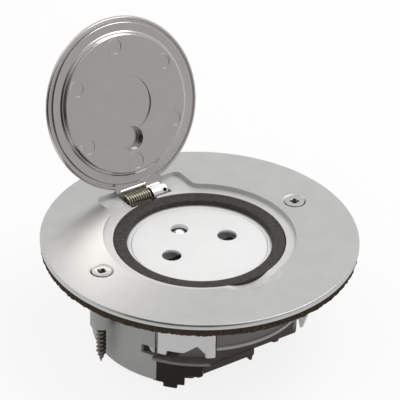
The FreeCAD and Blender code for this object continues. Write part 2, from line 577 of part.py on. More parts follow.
def terminals():
    """Three brass clamps in the block's sides, each with its screw head at the wall."""
    clamps, screws = [], []
    for word, sx, sy in TERMINALS:
        near, far = f"{sx} * clamp_out", f"{sx} * (clamp_out - clamp_len)"
        x0, x1 = (near, far) if sx < 0 else (far, near)
        y = f"({sy} * clamp_y)"
        body = block(f"{word}_clamp", x0, x1, f"{y} - clamp_wid / 2", f"{y} + clamp_wid / 2",
                     "clamp_z - clamp_ht / 2", "clamp_z + clamp_ht / 2")
        wire = rod(f"{word}_wire", "wire_hole", "clamp_z - clamp_ht", "clamp_z + clamp_ht / 2 - clamp_roof",
                   f"{sx} * wire_x", y)
        deep = f"{sx} * (wire_x + wire_hole / 2)"
        outside = f"{sx} * (block_half + head_out)"
        seat = f"{sx} * (block_half + head_out - clamp_head_len)"
        ends = (outside, deep) if sx < 0 else (deep, outside)
        tap = crossbar(f"{word}_tap", "clamp_screw + thread_fit", *ends, y, "clamp_z")
        clamps.append(cut(f"{word}_clamp_cut", body, wire, tap))
        ends = (seat, deep) if sx < 0 else (deep, seat)
        shank = crossbar(f"{word}_shank", "clamp_screw", *ends, y, "clamp_z")
        ends = (outside, seat) if sx < 0 else (seat, outside)
        head = crossbar(f"{word}_head", "clamp_head", *ends, y, "clamp_z")
        screws.append(fuse(f"{word}_screw", shank, head))
    group("terminal_clamps", clamps)
    group("terminal_screws", screws)


# ---------------------------------------------------------------- mechanism block
def rounded_block(name, z0, z1):
    """The block's plan: a square whose corners are rounded to fit inside the floor box."""
    item = new("Part::Common", name)
    item.Base = block(name + "_square", "-block_half", "block_half", "-block_half", "block_half", z0, z1)
    item.Tool = rod(name + "_round", "block_round", f"({z0}) - 1", f"({z1}) + 1")
    return item


def corner_plan(near, far):
    """Plan of the open corner: everything beyond a chord square to the corner's middle direction."""
    mid = "(guard_from_angle + guard_to_angle) / 2"
    half = "block_half"
    return [(f"({out}) * cos({mid} * 1deg) - {side} * {half} * sin({mid} * 1deg)",
             f"({out}) * sin({mid} * 1deg) + {side} * {half} * cos({mid} * 1deg)")
            for out, side in ((near, -1), (far, -1), (far, 1), (near, 1))]


def mechanism_housing():
    """Black block with chambers for the contacts, clamps, spring cups and screws."""
    low, high = "cover_top - 1", "block_top + 1"
    tools = pole_rods("chamber", "contact_rad + chamber_gap", low, high)
    tools.append(rod("earth_chamber", "earth_rad + earth_collar + chamber_gap", low, high, 0, "earth_y"))
    tools += [spread(rod(f"cup_chamber_{a}", "cup_rad + cup_wall + clamp_play", low, high), "coil_circle", a)
              for a in COIL_ANGLES]
    tools += [rod(f"block_hole_{i}", "block_screw + hole_ease", low, high, x, y)
              for i, (x, y) in enumerate(BLOCK_SCREWS)]
    for word, sx, sy in TERMINALS:
        near, far = f"{sx} * (clamp_out + coil_rest)", f"{sx} * (clamp_out - clamp_len - clamp_play)"
        x0, x1 = (near, far) if sx < 0 else (far, near)
        y = f"({sy} * clamp_y)"
        tools.append(block(f"{word}_room", x0, x1, f"{y} - clamp_wid / 2 - clamp_play",
                           f"{y} + clamp_wid / 2 + clamp_play", low, "clamp_z + clamp_ht / 2 + clamp_play"))
        ends = (f"{sx} * (block_half + 1)", f"{sx} * clamp_out")
        tools.append(crossbar(f"{word}_port", "clamp_head + hole_ease", *(ends if sx < 0 else ends[::-1]),
                              y, "clamp_z"))
    for side, word in ((-1, "line"), (1, "neutral")):
        ends = (f"{side} * (clamp_out - clamp_len)", f"{side} * pole_half")
        x0, x1 = ends if side < 0 else ends[::-1]
        tools.append(block(f"{word}_trench", x0, x1, "-clamp_y - strap_wid / 2 - chamber_gap",
                           "strap_wid / 2 + chamber_gap", low,
                           "cover_top + contact_gap + strap_thk + clamp_play"))
    tools.append(block("earth_trench", "-(clamp_out - clamp_len)", 0,
                       "earth_y - strap_wid / 2 - chamber_gap", "earth_y + strap_wid / 2 + chamber_gap",
                       low, "earth_foot + clamp_play"))
    tools.append(padded("open_corner", "XY_Plane", corner_plan("guard_chord - guard_gap", "guard_rad + past"),
                        "block_top - shelf_top + shelf_thk + 2 * past", "shelf_top - shelf_thk - guard_gap"))
    node("mechanism_housing", cut("housing_cut", rounded_block("housing", "cover_top", "block_top"),
                                  *tools))


def rear_cover():
    """Cover that closes the block from below, with screw seats, wire holes, lugs and a locating spike."""
    high = "cover_top - cover_gap"
    plate = rounded_block("rear_plate", "block_bottom", high)
    front = "-block_half"
    lugs = [rod("lug_left", "lug_rad", "block_bottom", "block_bottom + lug_ht", "-lug_left",
                f"{front} + lug_rad - lug_out"),
            rod("lug_right", "lug_rad", "block_bottom", "block_bottom + lug_ht", "lug_right",
                f"{front} + front_step + lug_rad - lug_out")]
    spike = padded("spike", "XZ_Plane", [
        ("spike_x - spike_wid / 2", "block_bottom + bite"),
        ("spike_x + spike_wid / 2", "block_bottom + bite"),
        ("spike_x + spike_wid / 3", "block_bottom - spike_len"), ("spike_x", "block_bottom - spike_len")],
        "spike_wid", "block_half - spike_wid")
    tools = [block("front_recess", "front_from", "block_half + 1", f"{front} - 1", f"{front} + front_step",
                   "block_bottom - 1", "cover_top + 1")]
    tools += pole_rods("pin_end", "contact_rad", "block_bottom + pin_floor", "cover_top + 1")
    for i, (x, y) in enumerate(BLOCK_SCREWS):
        tools.append(rod(f"cover_hole_{i}", "block_screw + hole_ease", "block_bottom - 1", "cover_top + 1",
                         x, y))
        tools.append(rod(f"cover_sink_{i}", "block_screw_head + hole_ease", "block_bottom - 1",
                         "block_bottom + block_screw_sink", x, y))
    tools += [rod(f"{word}_entry", "wire_hole + hole_ease", "block_bottom - 1", "cover_top + 1",
                  f"{sx} * wire_x", f"{sy} * clamp_y") for word, sx, sy in TERMINALS]
    body = cut("rear_cut", plate, *tools)
    node("rear_cover", fuse("rear_fused", body, *lugs, spike))


def small_screws():
    """Four screws that hold the well to the plate, three that hold the block and its cover to the well."""
    items = []
    for i in range(4):
        seat = "(seat_low - flange_thk)"
        shank = rod(f"well_shank_{i}", "well_screw - thread_fit", seat, f"{seat} + well_screw_len")
        head = rod(f"well_head_{i}", "well_screw_head", f"{seat} - well_screw_cap", seat)
        for piece in (shank, head):
            spread(piece, "well_screw_circle", 45 + 90 * i)
        items.append(fuse(f"well_screw_{i}", shank, head))
    group("well_screws", items)
    items = []
    for i, (x, y) in enumerate(BLOCK_SCREWS):
        seat = "(block_bottom + block_screw_sink)"
        shank = rod(f"block_shank_{i}", "block_screw - thread_fit", seat, "deck_top - contact_gap", x, y)
        head = rod(f"block_head_{i}", "block_screw_head", f"{seat} - block_screw_cap", seat, x, y)
        items.append(fuse(f"block_screw_{i}", shank, head))
    group("housing_screws", items)


# ---------------------------------------------------------------- floor box
def mounting_skirt():
    """Plastic box sunk in the floor: flange, deep and shallow wall stretches, bosses and a tooth."""
    deep = sector("deep_wall", "skirt_rad", "skirt_in", "skirt_from_angle", "skirt_to_angle", "skirt_low",
                  "flange_low + bite")
    shallow = sector("shallow_wall", "skirt_rad", "skirt_in", "gate_to_angle", "skirt_from_angle",
                     "skirt_high",
                     "flange_low + bite")
    tooth = sector("tooth", "skirt_rad", "skirt_in", "tooth_angle - tooth_half_angle",
                   "tooth_angle + tooth_half_angle",
                   "tooth_low", "skirt_high + bite")
    flange = sector("box_flange", "skirt_flange_rad", "skirt_in", "0", "360", "flange_low", "flange_top")
    bosses = [rod(f"boss_{word}", "boss_rad", "boss_low", "flange_top", f"{side} * screw_x")
              for side, word in ((-1, "left"), (1, "right"))]
    tools = [rod(f"boss_bore_{word}", "screw_clear", "boss_low - 1", "flange_top + 1",
                 f"{side} * screw_x") for side, word in ((-1, "left"), (1, "right"))]
    half = "(pocket_half + cast_wall + skirt_gap)"
    tools.append(block("hinge_room", f"-{half}", half, "recess_rad / 2", "skirt_flange_rad + 1",
                       "hinge_z - knuckle_rad - hinge_gap - cast_wall - skirt_gap", "flange_top + 1"))
    node("mounting_skirt", cut("skirt_cut", fuse("skirt_blank", deep, shallow, tooth, flange, *bosses),
                               *tools))


def entry_gate():
    """White gate that closes the box's cable entry: two legs with a pointed arch between them."""
    high = "flange_low - gate_gap"
    wall = sector("gate_wall", "skirt_rad", "skirt_in", "gate_from_angle + gate_side_angle",
                  "gate_to_angle - gate_side_angle",
                  "gate_low",
                  high)
    between = sector("gate_between", "skirt_rad + 1", "skirt_in - 1", "gate_from_angle + gate_tab_angle",
                     "gate_to_angle - gate_tab_angle", "gate_low - 1", "gate_mid_low")
    arch = padded("gate_arch", "XZ_Plane", [
        ("-arch_left", "gate_mid_low - past / 2"), ("0", "gate_peak"),
        ("arch_right", "gate_mid_low - past / 2")],
        "6 * skirt_wall", "skirt_in - 2 * skirt_wall")
    turn(arch, (0, 0, 1), "90 + gate_peak_angle")
    node("entry_gate", cut("gate_cut", wall, between, arch))


def cable_guard():
    """Corner guard under the entry: half-moon shelf, curved wall with a foot, and a roof-shaped rib."""
    low = "shelf_top - shelf_thk"
    plate = sector("shelf_sector", "guard_rad", "guard_chord / 2", "guard_from_angle", "guard_to_angle", low,
                   "shelf_top")
    chord = padded("shelf_chord", "XY_Plane", corner_plan("guard_chord", "guard_rad + past"),
                   "shelf_thk + past",
                   low)
    shelf = new("Part::Common", "shelf")
    shelf.Base, shelf.Tool = plate, chord
    inner = "block_round + guard_gap"
    heel = sector("heel", "guard_wall_rad", inner, "guard_from_angle", "foot_to_angle + foot_side_angle",
                  "guard_low",
                  f"{low} + bite")
    foot = sector("foot", "guard_wall_rad", inner, "foot_from_angle", "foot_to_angle", "foot_low",
                  "guard_low + bite")
    tail = sector("guard_tail", "guard_wall_rad", inner, "foot_to_angle + foot_side_angle",
                  "guard_to_angle - foot_side_angle",
                  "guard_end_low",
                  f"{low} + bite")
    rib = padded("guard_rib", "XZ_Plane", [
        ("-rib_left", "shelf_top - bite"), ("rib_right", "shelf_top - bite"),
        ("rib_peak", "shelf_top + rib_ht")], "rib_thk", "guard_chord + rib_in")
    turn(rib, (0, 0, 1), "90 + gate_peak_angle")
    node("cable_guard", fuse("guard_fused", shelf, heel, foot, tail, rib))


def main():
    cover_plate()
    trim()
    lid()
    hinge()
    outlet_well()
    socket_disc()
    disc_springs()
    shutter()
    contacts()
    terminals()
    mechanism_housing()
    rear_cover()
    small_screws()
    mounting_skirt()
    entry_gate()
    cable_guard()
    doc.recompute()
    for item in doc.Objects:
        if "Invalid" in item.State or "Error" in item.State:
            raise RuntimeError(f"{item.Name} ({item.Label}) failed: {item.State}")
    os.makedirs("parts", exist_ok=True)
    for label, item in NODES.items():
        shape = item.Shape
        if shape.isNull() or not shape.isValid() or not shape.Solids:
            raise RuntimeError(f"{label} has no valid solid")
        print(f"{label}: {len(shape.Solids)} solid(s), {shape.Volume:.1f} mm3")
        shape.exportStep(f"parts/{label}.step")


main()
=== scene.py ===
"""Looks of a flush floor socket: cast cover plate and lid, foam seals, white outlet and plastic floor box."""

import json
import logging
import math
from contextlib import contextmanager
from dataclasses import dataclass
from enum import Enum
from typing import Callable, Iterable, Iterator, Sequence

import bmesh
import bpy
from mathutils import Matrix, Vector


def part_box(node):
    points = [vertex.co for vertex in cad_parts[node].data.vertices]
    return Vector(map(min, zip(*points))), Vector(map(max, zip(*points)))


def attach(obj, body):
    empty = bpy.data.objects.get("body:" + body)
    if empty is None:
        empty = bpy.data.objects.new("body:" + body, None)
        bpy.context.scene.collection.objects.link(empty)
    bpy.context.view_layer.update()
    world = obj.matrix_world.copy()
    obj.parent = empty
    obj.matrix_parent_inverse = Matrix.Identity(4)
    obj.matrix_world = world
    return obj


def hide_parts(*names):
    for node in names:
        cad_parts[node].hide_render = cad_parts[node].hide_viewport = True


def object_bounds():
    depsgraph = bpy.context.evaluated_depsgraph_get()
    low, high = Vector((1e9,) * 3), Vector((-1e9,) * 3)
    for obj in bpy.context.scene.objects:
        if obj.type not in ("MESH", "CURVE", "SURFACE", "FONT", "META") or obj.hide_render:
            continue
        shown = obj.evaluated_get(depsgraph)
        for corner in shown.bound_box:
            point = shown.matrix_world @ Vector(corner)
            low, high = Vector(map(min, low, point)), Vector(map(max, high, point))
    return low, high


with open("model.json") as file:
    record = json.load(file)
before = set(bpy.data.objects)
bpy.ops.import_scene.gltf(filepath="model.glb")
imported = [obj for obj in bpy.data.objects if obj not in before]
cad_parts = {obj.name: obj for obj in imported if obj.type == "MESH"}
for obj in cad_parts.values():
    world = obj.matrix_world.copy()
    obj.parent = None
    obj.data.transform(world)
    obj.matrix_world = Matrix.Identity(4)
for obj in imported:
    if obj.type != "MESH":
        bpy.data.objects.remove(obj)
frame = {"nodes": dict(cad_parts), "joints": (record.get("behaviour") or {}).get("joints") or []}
CAD_BOX = [list(map(float, corner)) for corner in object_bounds()]

MM = 0.001
MIDDLE = (0.35, 0.65)  # where most of a noise's values lie
Point2 = tuple[float, float]
Point3 = tuple[float, float, float]
Obj, Tree, Socket = bpy.types.Object, bpy.types.NodeTree, bpy.types.NodeSocket
log = logging.getLogger("floor_socket")


# ---------------------------------------------------------------- shop tools
class Body(Enum):
    """The moving bodies that the modelled pieces ride on."""

    BASE = "base"
    LID = "lid"
    DISC = "disc"


def deselect() -> None:
    """Leave edit mode and deselect every object."""
    if bpy.context.object and bpy.context.object.mode != "OBJECT":
        bpy.ops.object.mode_set(mode="OBJECT")
    bpy.ops.object.select_all(action="DESELECT")


def pick(obj: Obj) -> None:
    """Make one object the selected and active one.

    Args:
        obj: the object to work on.
    """
    deselect()
    obj.select_set(True)
    bpy.context.view_layer.objects.active = obj


def settle(obj: Obj) -> Obj:
    """Apply an object's place, turn and scale to its mesh.

    Args:
        obj: the object to settle.

    Returns:
        The same object.
    """
    pick(obj)
    bpy.ops.object.transform_apply(location=True, rotation=True, scale=True)
    return obj


@contextmanager
def editing(obj: Obj, action: str = "SELECT") -> Iterator[None]:
    """Work on an object in edit mode, with all of its mesh selected or none of it.

    Args:
        obj: the object.
        action: SELECT or DESELECT.

    Yields:
        Nothing, while the mesh is edited.
    """
    pick(obj)
    bpy.ops.object.mode_set(mode="EDIT")
    bpy.ops.mesh.select_all(action=action)
    yield
    bpy.ops.object.mode_set(mode="OBJECT")


def arc(centre: Point2, radius: float, start: float, end: float, steps: int = 6) -> list[Point2]:
    """Points along an arc from a first to a last angle in degrees, cut into steps."""
    turns = [math.radians(start + (end - start) * i / steps) for i in range(steps + 1)]
    return [(centre[0] + radius * math.cos(a), centre[1] + radius * math.sin(a)) for a in turns]


def trace(name: str, points: Sequence[Point3], closed: bool = True) -> Obj:
    """Draw a chain of edges by extruding one vertex from point to point.

    Args:
        name: the new object's name.
        points: the chain's points in millimetres.
        closed: whether the chain is closed and filled with a face.

    Returns:
        The new object, in object mode.
    """
    deselect()
    here = Vector(points[0]) * MM
    bpy.ops.mesh.primitive_plane_add(size=MM, location=here)
    obj = settle(bpy.context.object)
    obj.name = name
    with editing(obj):
        bpy.ops.mesh.merge(type="CENTER")
        for point in points[1:]:
            there = Vector(point) * MM
            bpy.ops.mesh.extrude_vertices_move(TRANSFORM_OT_translate={"value": there - here})
            here = there
        if closed:
            bpy.ops.mesh.select_all(action="SELECT")
            bpy.ops.mesh.edge_face_add()
    return obj


def tidy_mesh(obj: Obj, distance: float = 0.004) -> Obj:
    """Merge doubles, close holes and turn all faces outwards.

    Args:
        obj: the object to tidy.
        distance: the merging distance in millimetres.

    Returns:
        The same object.
    """
    with editing(obj):
        bpy.ops.mesh.remove_doubles(threshold=distance * MM)
        bpy.ops.mesh.select_all(action="SELECT")
        bpy.ops.mesh.fill_holes(sides=0)
        bpy.ops.mesh.select_all(action="SELECT")
        bpy.ops.mesh.normals_make_consistent(inside=False)
    return obj


def lathe(name: str, profile: Sequence[Point2], steps: int = 160, start: float = 0.0,
          sweep: float = 360.0) -> Obj:
    """Turn a closed outline of (radius, height) about Z.

    Args:
        name: the new object's name.
        profile: the outline in millimetres.
        steps: the number of pieces round the axis.
        start: the first angle in degrees.
        sweep: the angle turned through in degrees.

    Returns:
        The turned object.
    """
    cos, sin = math.cos(math.radians(start)), math.sin(math.radians(start))
    obj = trace(name, [(r * cos, r * sin, z) for r, z in profile], closed=sweep < 360)
    with editing(obj):
        if sweep >= 360:
            bpy.ops.mesh.edge_face_add()
            bpy.ops.mesh.delete(type="ONLY_FACE")
            bpy.ops.mesh.select_all(action="SELECT")
        bpy.ops.mesh.spin(steps=steps, angle=-math.radians(sweep), center=(0, 0, 0), axis=(0, 0, 1))
    return tidy_mesh(obj)


def ring(name: str, radii: Point2, heights: Point2, steps: int, start: float, sweep: float) -> Obj:
    """Part of a ring with a rectangular section between two radii and two heights."""
    (inner, outer), (low, high) = radii, heights
    return lathe(name, [(inner, low), (outer, low), (outer, high), (inner, high)], steps, start, sweep)


def prism(name: str, outline: Sequence[Point2], low: float, high: float) -> Obj:
    """Raise a plan outline into a solid between two heights.

    Args:
        name: the new object's name.
        outline: the plan's points in millimetres.
        low: the lower height.
        high: the upper height.

    Returns:
        The solid.
    """
    obj = trace(name, [(x, y, low) for x, y in outline])
    with editing(obj):
        bpy.ops.mesh.extrude_region_move(TRANSFORM_OT_translate={"value": (0, 0, (high - low) * MM)})
    return tidy_mesh(obj)


def cylinder(name: str, radius: float, low: float, high: float, place: Point2 = (0.0, 0.0),
             top_radius: float | None = None, steps: int = 48) -> Obj:
    """An upright cylinder or cone.

    Args:
        name: the new object's name.
        radius: its radius at the bottom, in millimetres.
        low: its lower height.
        high: its upper height.
        place: its axis in plan.
        top_radius: its radius at the top, if that differs.
        steps: the number of its sides.

    Returns:
        The new object.
    """
    deselect()
    bpy.ops.mesh.primitive_cone_add(
        vertices=steps, radius1=radius * MM, radius2=(radius if top_radius is None else top_radius) * MM,
        depth=(high - low) * MM, location=(place[0] * MM, place[1] * MM, (low + high) / 2 * MM))
    obj = bpy.context.object
    obj.name = name
    return settle(obj)


def bar(name: str, low: Point3, high: Point3) -> Obj:
    """A box between two corners in millimetres.

    Args:
        name: the new object's name.
        low: the lowest corner.
        high: the highest corner.

    Returns:
        The new object.
    """
    deselect()
    bpy.ops.mesh.primitive_cube_add(size=1, location=[(a + b) / 2 * MM for a, b in zip(low, high)])
    obj = bpy.context.object
    obj.name = name
    obj.scale = [(b - a) * MM for a, b in zip(low, high)]
    return settle(obj)


def lay_along_x(obj: Obj, place: Point3) -> Obj:
    """Turn a piece made about Z so that its axis lies along X, then move it.

    Args:
        obj: the piece.
        place: where its origin goes, in millimetres.

    Returns:
        The same piece.
    """
    obj.rotation_euler = (0, math.pi / 2, 0)
    obj.location = Vector(place) * MM
    return settle(obj)


def modify(obj: Obj, kind: str, **settings: object) -> None:
    """Add a modifier with its settings and apply it.

    Args:
        obj: the object that is changed.
        kind: the modifier's type.
        **settings: the modifier's properties.
    """
    pick(obj)
    bpy.ops.object.modifier_add(type=kind)
    modifier = obj.modifiers[-1]
    for key, value in settings.items():
        setattr(modifier, key, value)
    bpy.ops.object.modifier_apply(modifier=modifier.name)


def combine(obj: Obj, operation: str, tools: Iterable[Obj]) -> Obj:
    """Apply one boolean after another and remove the tools.

    Args:
        obj: the object that is changed.
        operation: DIFFERENCE or UNION.
        tools: the objects that change it.

    Returns:
        The same object.
    """
    for tool in tools:
        modify(obj, "BOOLEAN", operation=operation, object=tool, solver="EXACT")
        bpy.data.objects.remove(tool)
    return obj


def cut(obj: Obj, *tools: Obj) -> Obj:
    """Take tools away from an object."""
    return combine(obj, "DIFFERENCE", tools)


def weld(obj: Obj, *others: Obj) -> Obj:
    """Grow an object by others into one skin."""
    return combine(obj, "UNION", others)


def join(name: str, parts: Sequence[Obj]) -> Obj:
    """Gather separate shells in one object.

    Args:
        name: the gathered object's name.
        parts: the shells.

    Returns:
        The gathered object.
    """
    pick(parts[0])
    for part in parts[1:]:
        part.select_set(True)
    bpy.ops.object.join()
    parts[0].name = name
    return parts[0]


def shade(obj: Obj, angle: float = 32.0) -> Obj:
    """Shade an object smooth where its faces meet below an angle.

    Args:
        obj: the object.
        angle: the angle in degrees.

    Returns:
        The same object.
    """
    pick(obj)
    bpy.ops.object.shade_smooth_by_angle(angle=math.radians(angle))
    return obj


def soften(obj: Obj, width: float, segments: int = 2, angle: float = 35.0) -> Obj:
    """Clean a solid's flat faces, round its edges and shade it smooth.

    Args:
        obj: the solid.
        width: the rounding's width in millimetres.
        segments: the rounding's steps.
        angle: edges sharper than this, in degrees, are rounded.

    Returns:
        The same object.
    """
    with editing(obj):
        bpy.ops.mesh.remove_doubles(threshold=0.01 * MM)
    if width:
        modify(obj, "BEVEL", width=width * MM, segments=segments, limit_method="ANGLE",
               angle_limit=math.radians(angle), use_clamp_overlap=False, miter_outer="MITER_ARC",
               harden_normals=False)
    shade(obj)
    modify(obj, "WEIGHTED_NORMAL", weight=80, keep_sharp=True)
    return obj


def merged_copy(node: str, name: str) -> Obj:
    """Copy a node of the frame as a clean mesh of its own, without its finish.

    Args:
        node: the frame's node.
        name: the copy's name.

    Returns:
        The copy with its loose triangles merged.
    """
    source = frame["nodes"][node]
    twin = source.copy()
    twin.data = source.data.copy()
    twin.name = name
    bpy.context.collection.objects.link(twin)
    twin.data.materials.clear()
    twin.parent = None
    twin.matrix_world = source.matrix_world
    with editing(settle(twin)):
        bpy.ops.mesh.remove_doubles(threshold=0.002 * MM)
        bpy.ops.mesh.customdata_custom_splitnormals_clear()
    return twin


# ---------------------------------------------------------------- finishes
def maths(tree: Tree, operation: str, first: Socket, second: Socket | float) -> Socket:
    """Work out one value from two.

    Args:
        tree: the nodes.
        operation: the sum to do.
        first: the first value.
        second: the second value, or a fixed number.

    Returns:
        The outcome.
    """
    node = tree.nodes.new("ShaderNodeMath")
    node.operation = operation
    tree.links.new(first, node.inputs[0])
    if isinstance(second, float):
        node.inputs[1].default_value = second
    else:
        tree.links.new(second, node.inputs[1])
    return node.outputs["Value"]


def map_range(tree: Tree, value: Socket, spans: Sequence[float], smooth: bool = False) -> Socket:
    """Map a value from one range to another.

    Args:
        tree: the nodes.
        value: the value.
        spans: where the change starts and ends, and what the value is before and after it.
        smooth: whether the change eases in and out.

    Returns:
        The mapped value.
    """
    node = tree.nodes.new("ShaderNodeMapRange")
    if smooth:
        node.interpolation_type = "SMOOTHSTEP"
    for key, number in zip(("From Min", "From Max", "To Min", "To Max"), spans):
        node.inputs[key].default_value = number
    tree.links.new(value, node.inputs["Value"])
    return node.outputs["Result"]


@dataclass(frozen=True)
class Finish:
    """A surface finish: base colour, gloss, mottling and grain.

    Attributes:
        name: the material's name.
        colour: the base colour.
        metallic: 1 for bare metal.
        roughness: the mean roughness.
        mottle: how far colour and roughness wander.
        mottle_size: the mottling's size in millimetres.
        grain: the height of the fine grain in millimetres.
        grain_size: the grain's size in millimetres.
        subsurface: how far light goes into a plastic.
        dirt: how dark the mottling's low spots are.
        specular: how much a plastic mirrors.
    """

    name: str
    colour: Point3
    metallic: float = 0.0
    roughness: float = 0.4
    mottle: float = 0.04
    mottle_size: float = 3.0
    grain: float = 0.01
    grain_size: float = 0.4
    subsurface: float = 0.0
    dirt: float = 0.0
    specular: float = 0.5

    def material(self) -> bpy.types.Material:
        """Build the node material, or return it if it is there.

        Returns:
            The material.
        """
        known = bpy.data.materials.get(self.name)
        if known:
            return known
        material = bpy.data.materials.new(self.name)
        material.use_nodes = True
        tree = material.node_tree
        shader = tree.nodes["Principled BSDF"]
        for key, value in (("Metallic", self.metallic), ("Specular IOR Level", self.specular),
                           ("Subsurface Weight", self.subsurface), ("Subsurface Scale", 0.5 * MM)):
            shader.inputs[key].default_value = value
        place = tree.nodes.new("ShaderNodeTexCoord").outputs["Object"]
        broad = self._noise(tree, place, self.mottle_size, 4.0)
        fine = self._noise(tree, place, self.grain_size, 2.0)
        self._colour(tree, shader, broad)
        gloss = map_range(tree, broad, (*MIDDLE, self.roughness - self.mottle, self.roughness + self.mottle))
        tree.links.new(gloss, shader.inputs["Roughness"])
        bump = tree.nodes.new("ShaderNodeBump")
        bump.inputs["Strength"].default_value = 1.0
        bump.inputs["Distance"].default_value = self.grain * MM
        tree.links.new(self._relief(tree, place, fine), bump.inputs["Height"])
        tree.links.new(bump.outputs["Normal"], shader.inputs["Normal"])
        return material

    def _noise(self, tree: Tree, place: Socket, size: float, detail: float) -> Socket:
        """Add a noise of a given grain size.

        Args:
            tree: the material's nodes.
            place: the coordinates.
            size: the noise's size in millimetres.
            detail: its octaves.

        Returns:
            The noise's value.
        """
        noise = tree.nodes.new("ShaderNodeTexNoise")
        noise.inputs["Scale"].default_value = 1 / (size * MM)
        noise.inputs["Detail"].default_value = detail
        tree.links.new(place, noise.inputs["Vector"])
        return noise.outputs["Fac"]

    def _colour(self, tree: Tree, shader: bpy.types.Node, broad: Socket) -> None:
        """Let the base colour wander a little.

        Args:
            tree: the material's nodes.
            shader: the surface shader.
            broad: the broad noise.
        """
        ramp = tree.nodes.new("ShaderNodeValToRGB")
        shifts = (1 - self.mottle - self.dirt, 1 + self.mottle)
        for element, position, shift in zip(ramp.color_ramp.elements, MIDDLE, shifts):
            element.position = position
            element.color = (*[min(c * shift, 1) for c in self.colour], 1)
        tree.links.new(broad, ramp.inputs["Fac"])
        tree.links.new(ramp.outputs["Color"], shader.inputs["Base Color"])

    def _relief(self, tree: Tree, place: Socket, fine: Socket) -> Socket:
        """The height that the grain follows: here the fine noise itself."""
        return fine


@dataclass(frozen=True)
class BrushedFinish(Finish):
    """Bare metal with fine straight brushing along X."""

    stretch: float = 14.0

    def _relief(self, tree: Tree, place: Socket, fine: Socket) -> Socket:
        """Draw the grain out along X.

        Args:
            tree: the material's nodes.
            place: the coordinates.
            fine: the fine noise; not used.

        Returns:
            The height.
        """
        mapping = tree.nodes.new("ShaderNodeMapping")
        mapping.inputs["Scale"].default_value = (1 / self.stretch, 1, 1)
        tree.links.new(place, mapping.inputs["Vector"])
        return self._noise(tree, mapping.outputs["Vector"], self.grain_size, 3.0)


@dataclass(frozen=True)
class FoamFinish(Finish):
    """Cellular foam: open cells as dark pits in a lighter skin."""

    cell: float = 0.5
    fleck: Point3 = (0.2, 0.19, 0.18)
    fleck_share: Point2 = (-0.4, 0.9)

    def _relief(self, tree: Tree, place: Socket, fine: Socket) -> Socket:
        """Round cells from a Voronoi pattern, and flecks where light catches their rims.

        Args:
            tree: the material's nodes.
            place: the coordinates.
            fine: the fine noise.

        Returns:
            The height.
        """
        cells = tree.nodes.new("ShaderNodeTexVoronoi")
        cells.inputs["Scale"].default_value = 1 / (self.cell * MM)
        tree.links.new(place, cells.inputs["Vector"])
        mix = tree.nodes.new("ShaderNodeMix")
        mix.data_type = "RGBA"
        mix.inputs["B"].default_value = (*self.fleck, 1)
        base = tree.nodes["Principled BSDF"].inputs["Base Color"]
        tree.links.new(map_range(tree, fine, (*MIDDLE, *self.fleck_share)), mix.inputs["Factor"])
        tree.links.new(base.links[0].from_socket, mix.inputs["A"])
        tree.links.new(mix.outputs["Result"], base)
        return cells.outputs["Distance"]


PLATE_METAL = BrushedFinish("plate_metal", (0.495, 0.495, 0.486), 1.0, 0.32, 0.02, 5.0, 0.008, 0.22,
                            stretch=9.0)
RECESS_METAL = Finish("recess_metal", (0.60, 0.60, 0.59), 0.6, 0.5, 0.02, 5.0, 0.003, 0.3)
LID_METAL = Finish("lid_metal", (0.515, 0.496, 0.482), 1.0, 0.21, 0.012, 4.0, 0.003, 0.4)
BRIGHT_METAL = Finish("bright_metal", (0.78, 0.775, 0.76), 1.0, 0.24, 0.04, 2.0, 0.003, 0.3)
SCREW_HEAD = Finish("screw_head_metal", (0.46, 0.46, 0.44), 1.0, 0.28, 0.04, 1.5, 0.003, 0.2)
SCREW_THREAD = Finish("screw_thread_metal", (0.17, 0.145, 0.125), 1.0, 0.36, 0.08, 1.0, 0.01, 0.2, dirt=0.3)
SPRING_WIRE = Finish("spring_wire_metal", (0.60, 0.55, 0.43), 1.0, 0.16, 0.05, 1.0, 0.004, 0.2, dirt=0.2)
DARK_STEEL = Finish("dark_steel", (0.06, 0.05, 0.04), 1.0, 0.35, 0.05, 1.0, 0.004, 0.2)
BRASS = Finish("contact_brass", (0.72, 0.55, 0.26), 1.0, 0.28, 0.04, 2.0, 0.004, 0.3)
WHITE_PLASTIC = Finish("outlet_plastic", (0.88, 0.878, 0.872), 0.0, 0.42, 0.01, 6.0, 0.003, 0.4,
                       subsurface=0.05)
GATE_PLASTIC = Finish("gate_plastic", (0.72, 0.722, 0.725), 0.0, 0.42, 0.02, 4.0, 0.01, 0.5, subsurface=0.05)
BOX_PLASTIC = Finish("box_plastic", (0.37, 0.368, 0.362), 0.0, 0.48, 0.03, 5.0, 0.01, 0.4)
# painted shade: a darker copy of the box plastic for the shallow wall on the side away from the light
BOX_PAINTED_SHADE = Finish("box_plastic_painted_shade", (0.16, 0.155, 0.15), 0.0, 0.45, 0.03, 5.0, 0.01, 0.4, specular=0.3)
DARK_PLASTIC = Finish("black_plastic", (0.085, 0.072, 0.065), 0.0, 0.5, 0.06, 4.0, 0.01, 0.4, specular=0.12)
GUARD_PLASTIC = Finish("guard_plastic", (0.013, 0.009, 0.006), 0.0, 0.25, 0.06, 4.0, 0.01, 0.5,
                       specular=0.16)
# painted light: a paler copy of the guard's plastic for its upper faces, where light falls on the strip
SHELF_PAINTED_LIGHT = Finish("guard_shelf_painted_light", (0.19, 0.172, 0.16), 0.0, 0.38, 0.05, 4.0, 0.01, 0.5, specular=0.3)
GASKET_FOAM = FoamFinish("gasket_foam", (0.030, 0.022, 0.016), 0.0, 0.92, 0.1, 1.5, 0.14, 0.35, cell=0.45,
                         fleck=(0.085, 0.066, 0.050), specular=0.1)
SEAL_FOAM = FoamFinish("seal_foam", (0.015, 0.012, 0.010), 0.0, 0.5, 0.1, 1.2, 0.09, 0.22, cell=0.35,
                       fleck=(0.085, 0.075, 0.068), specular=0.26)


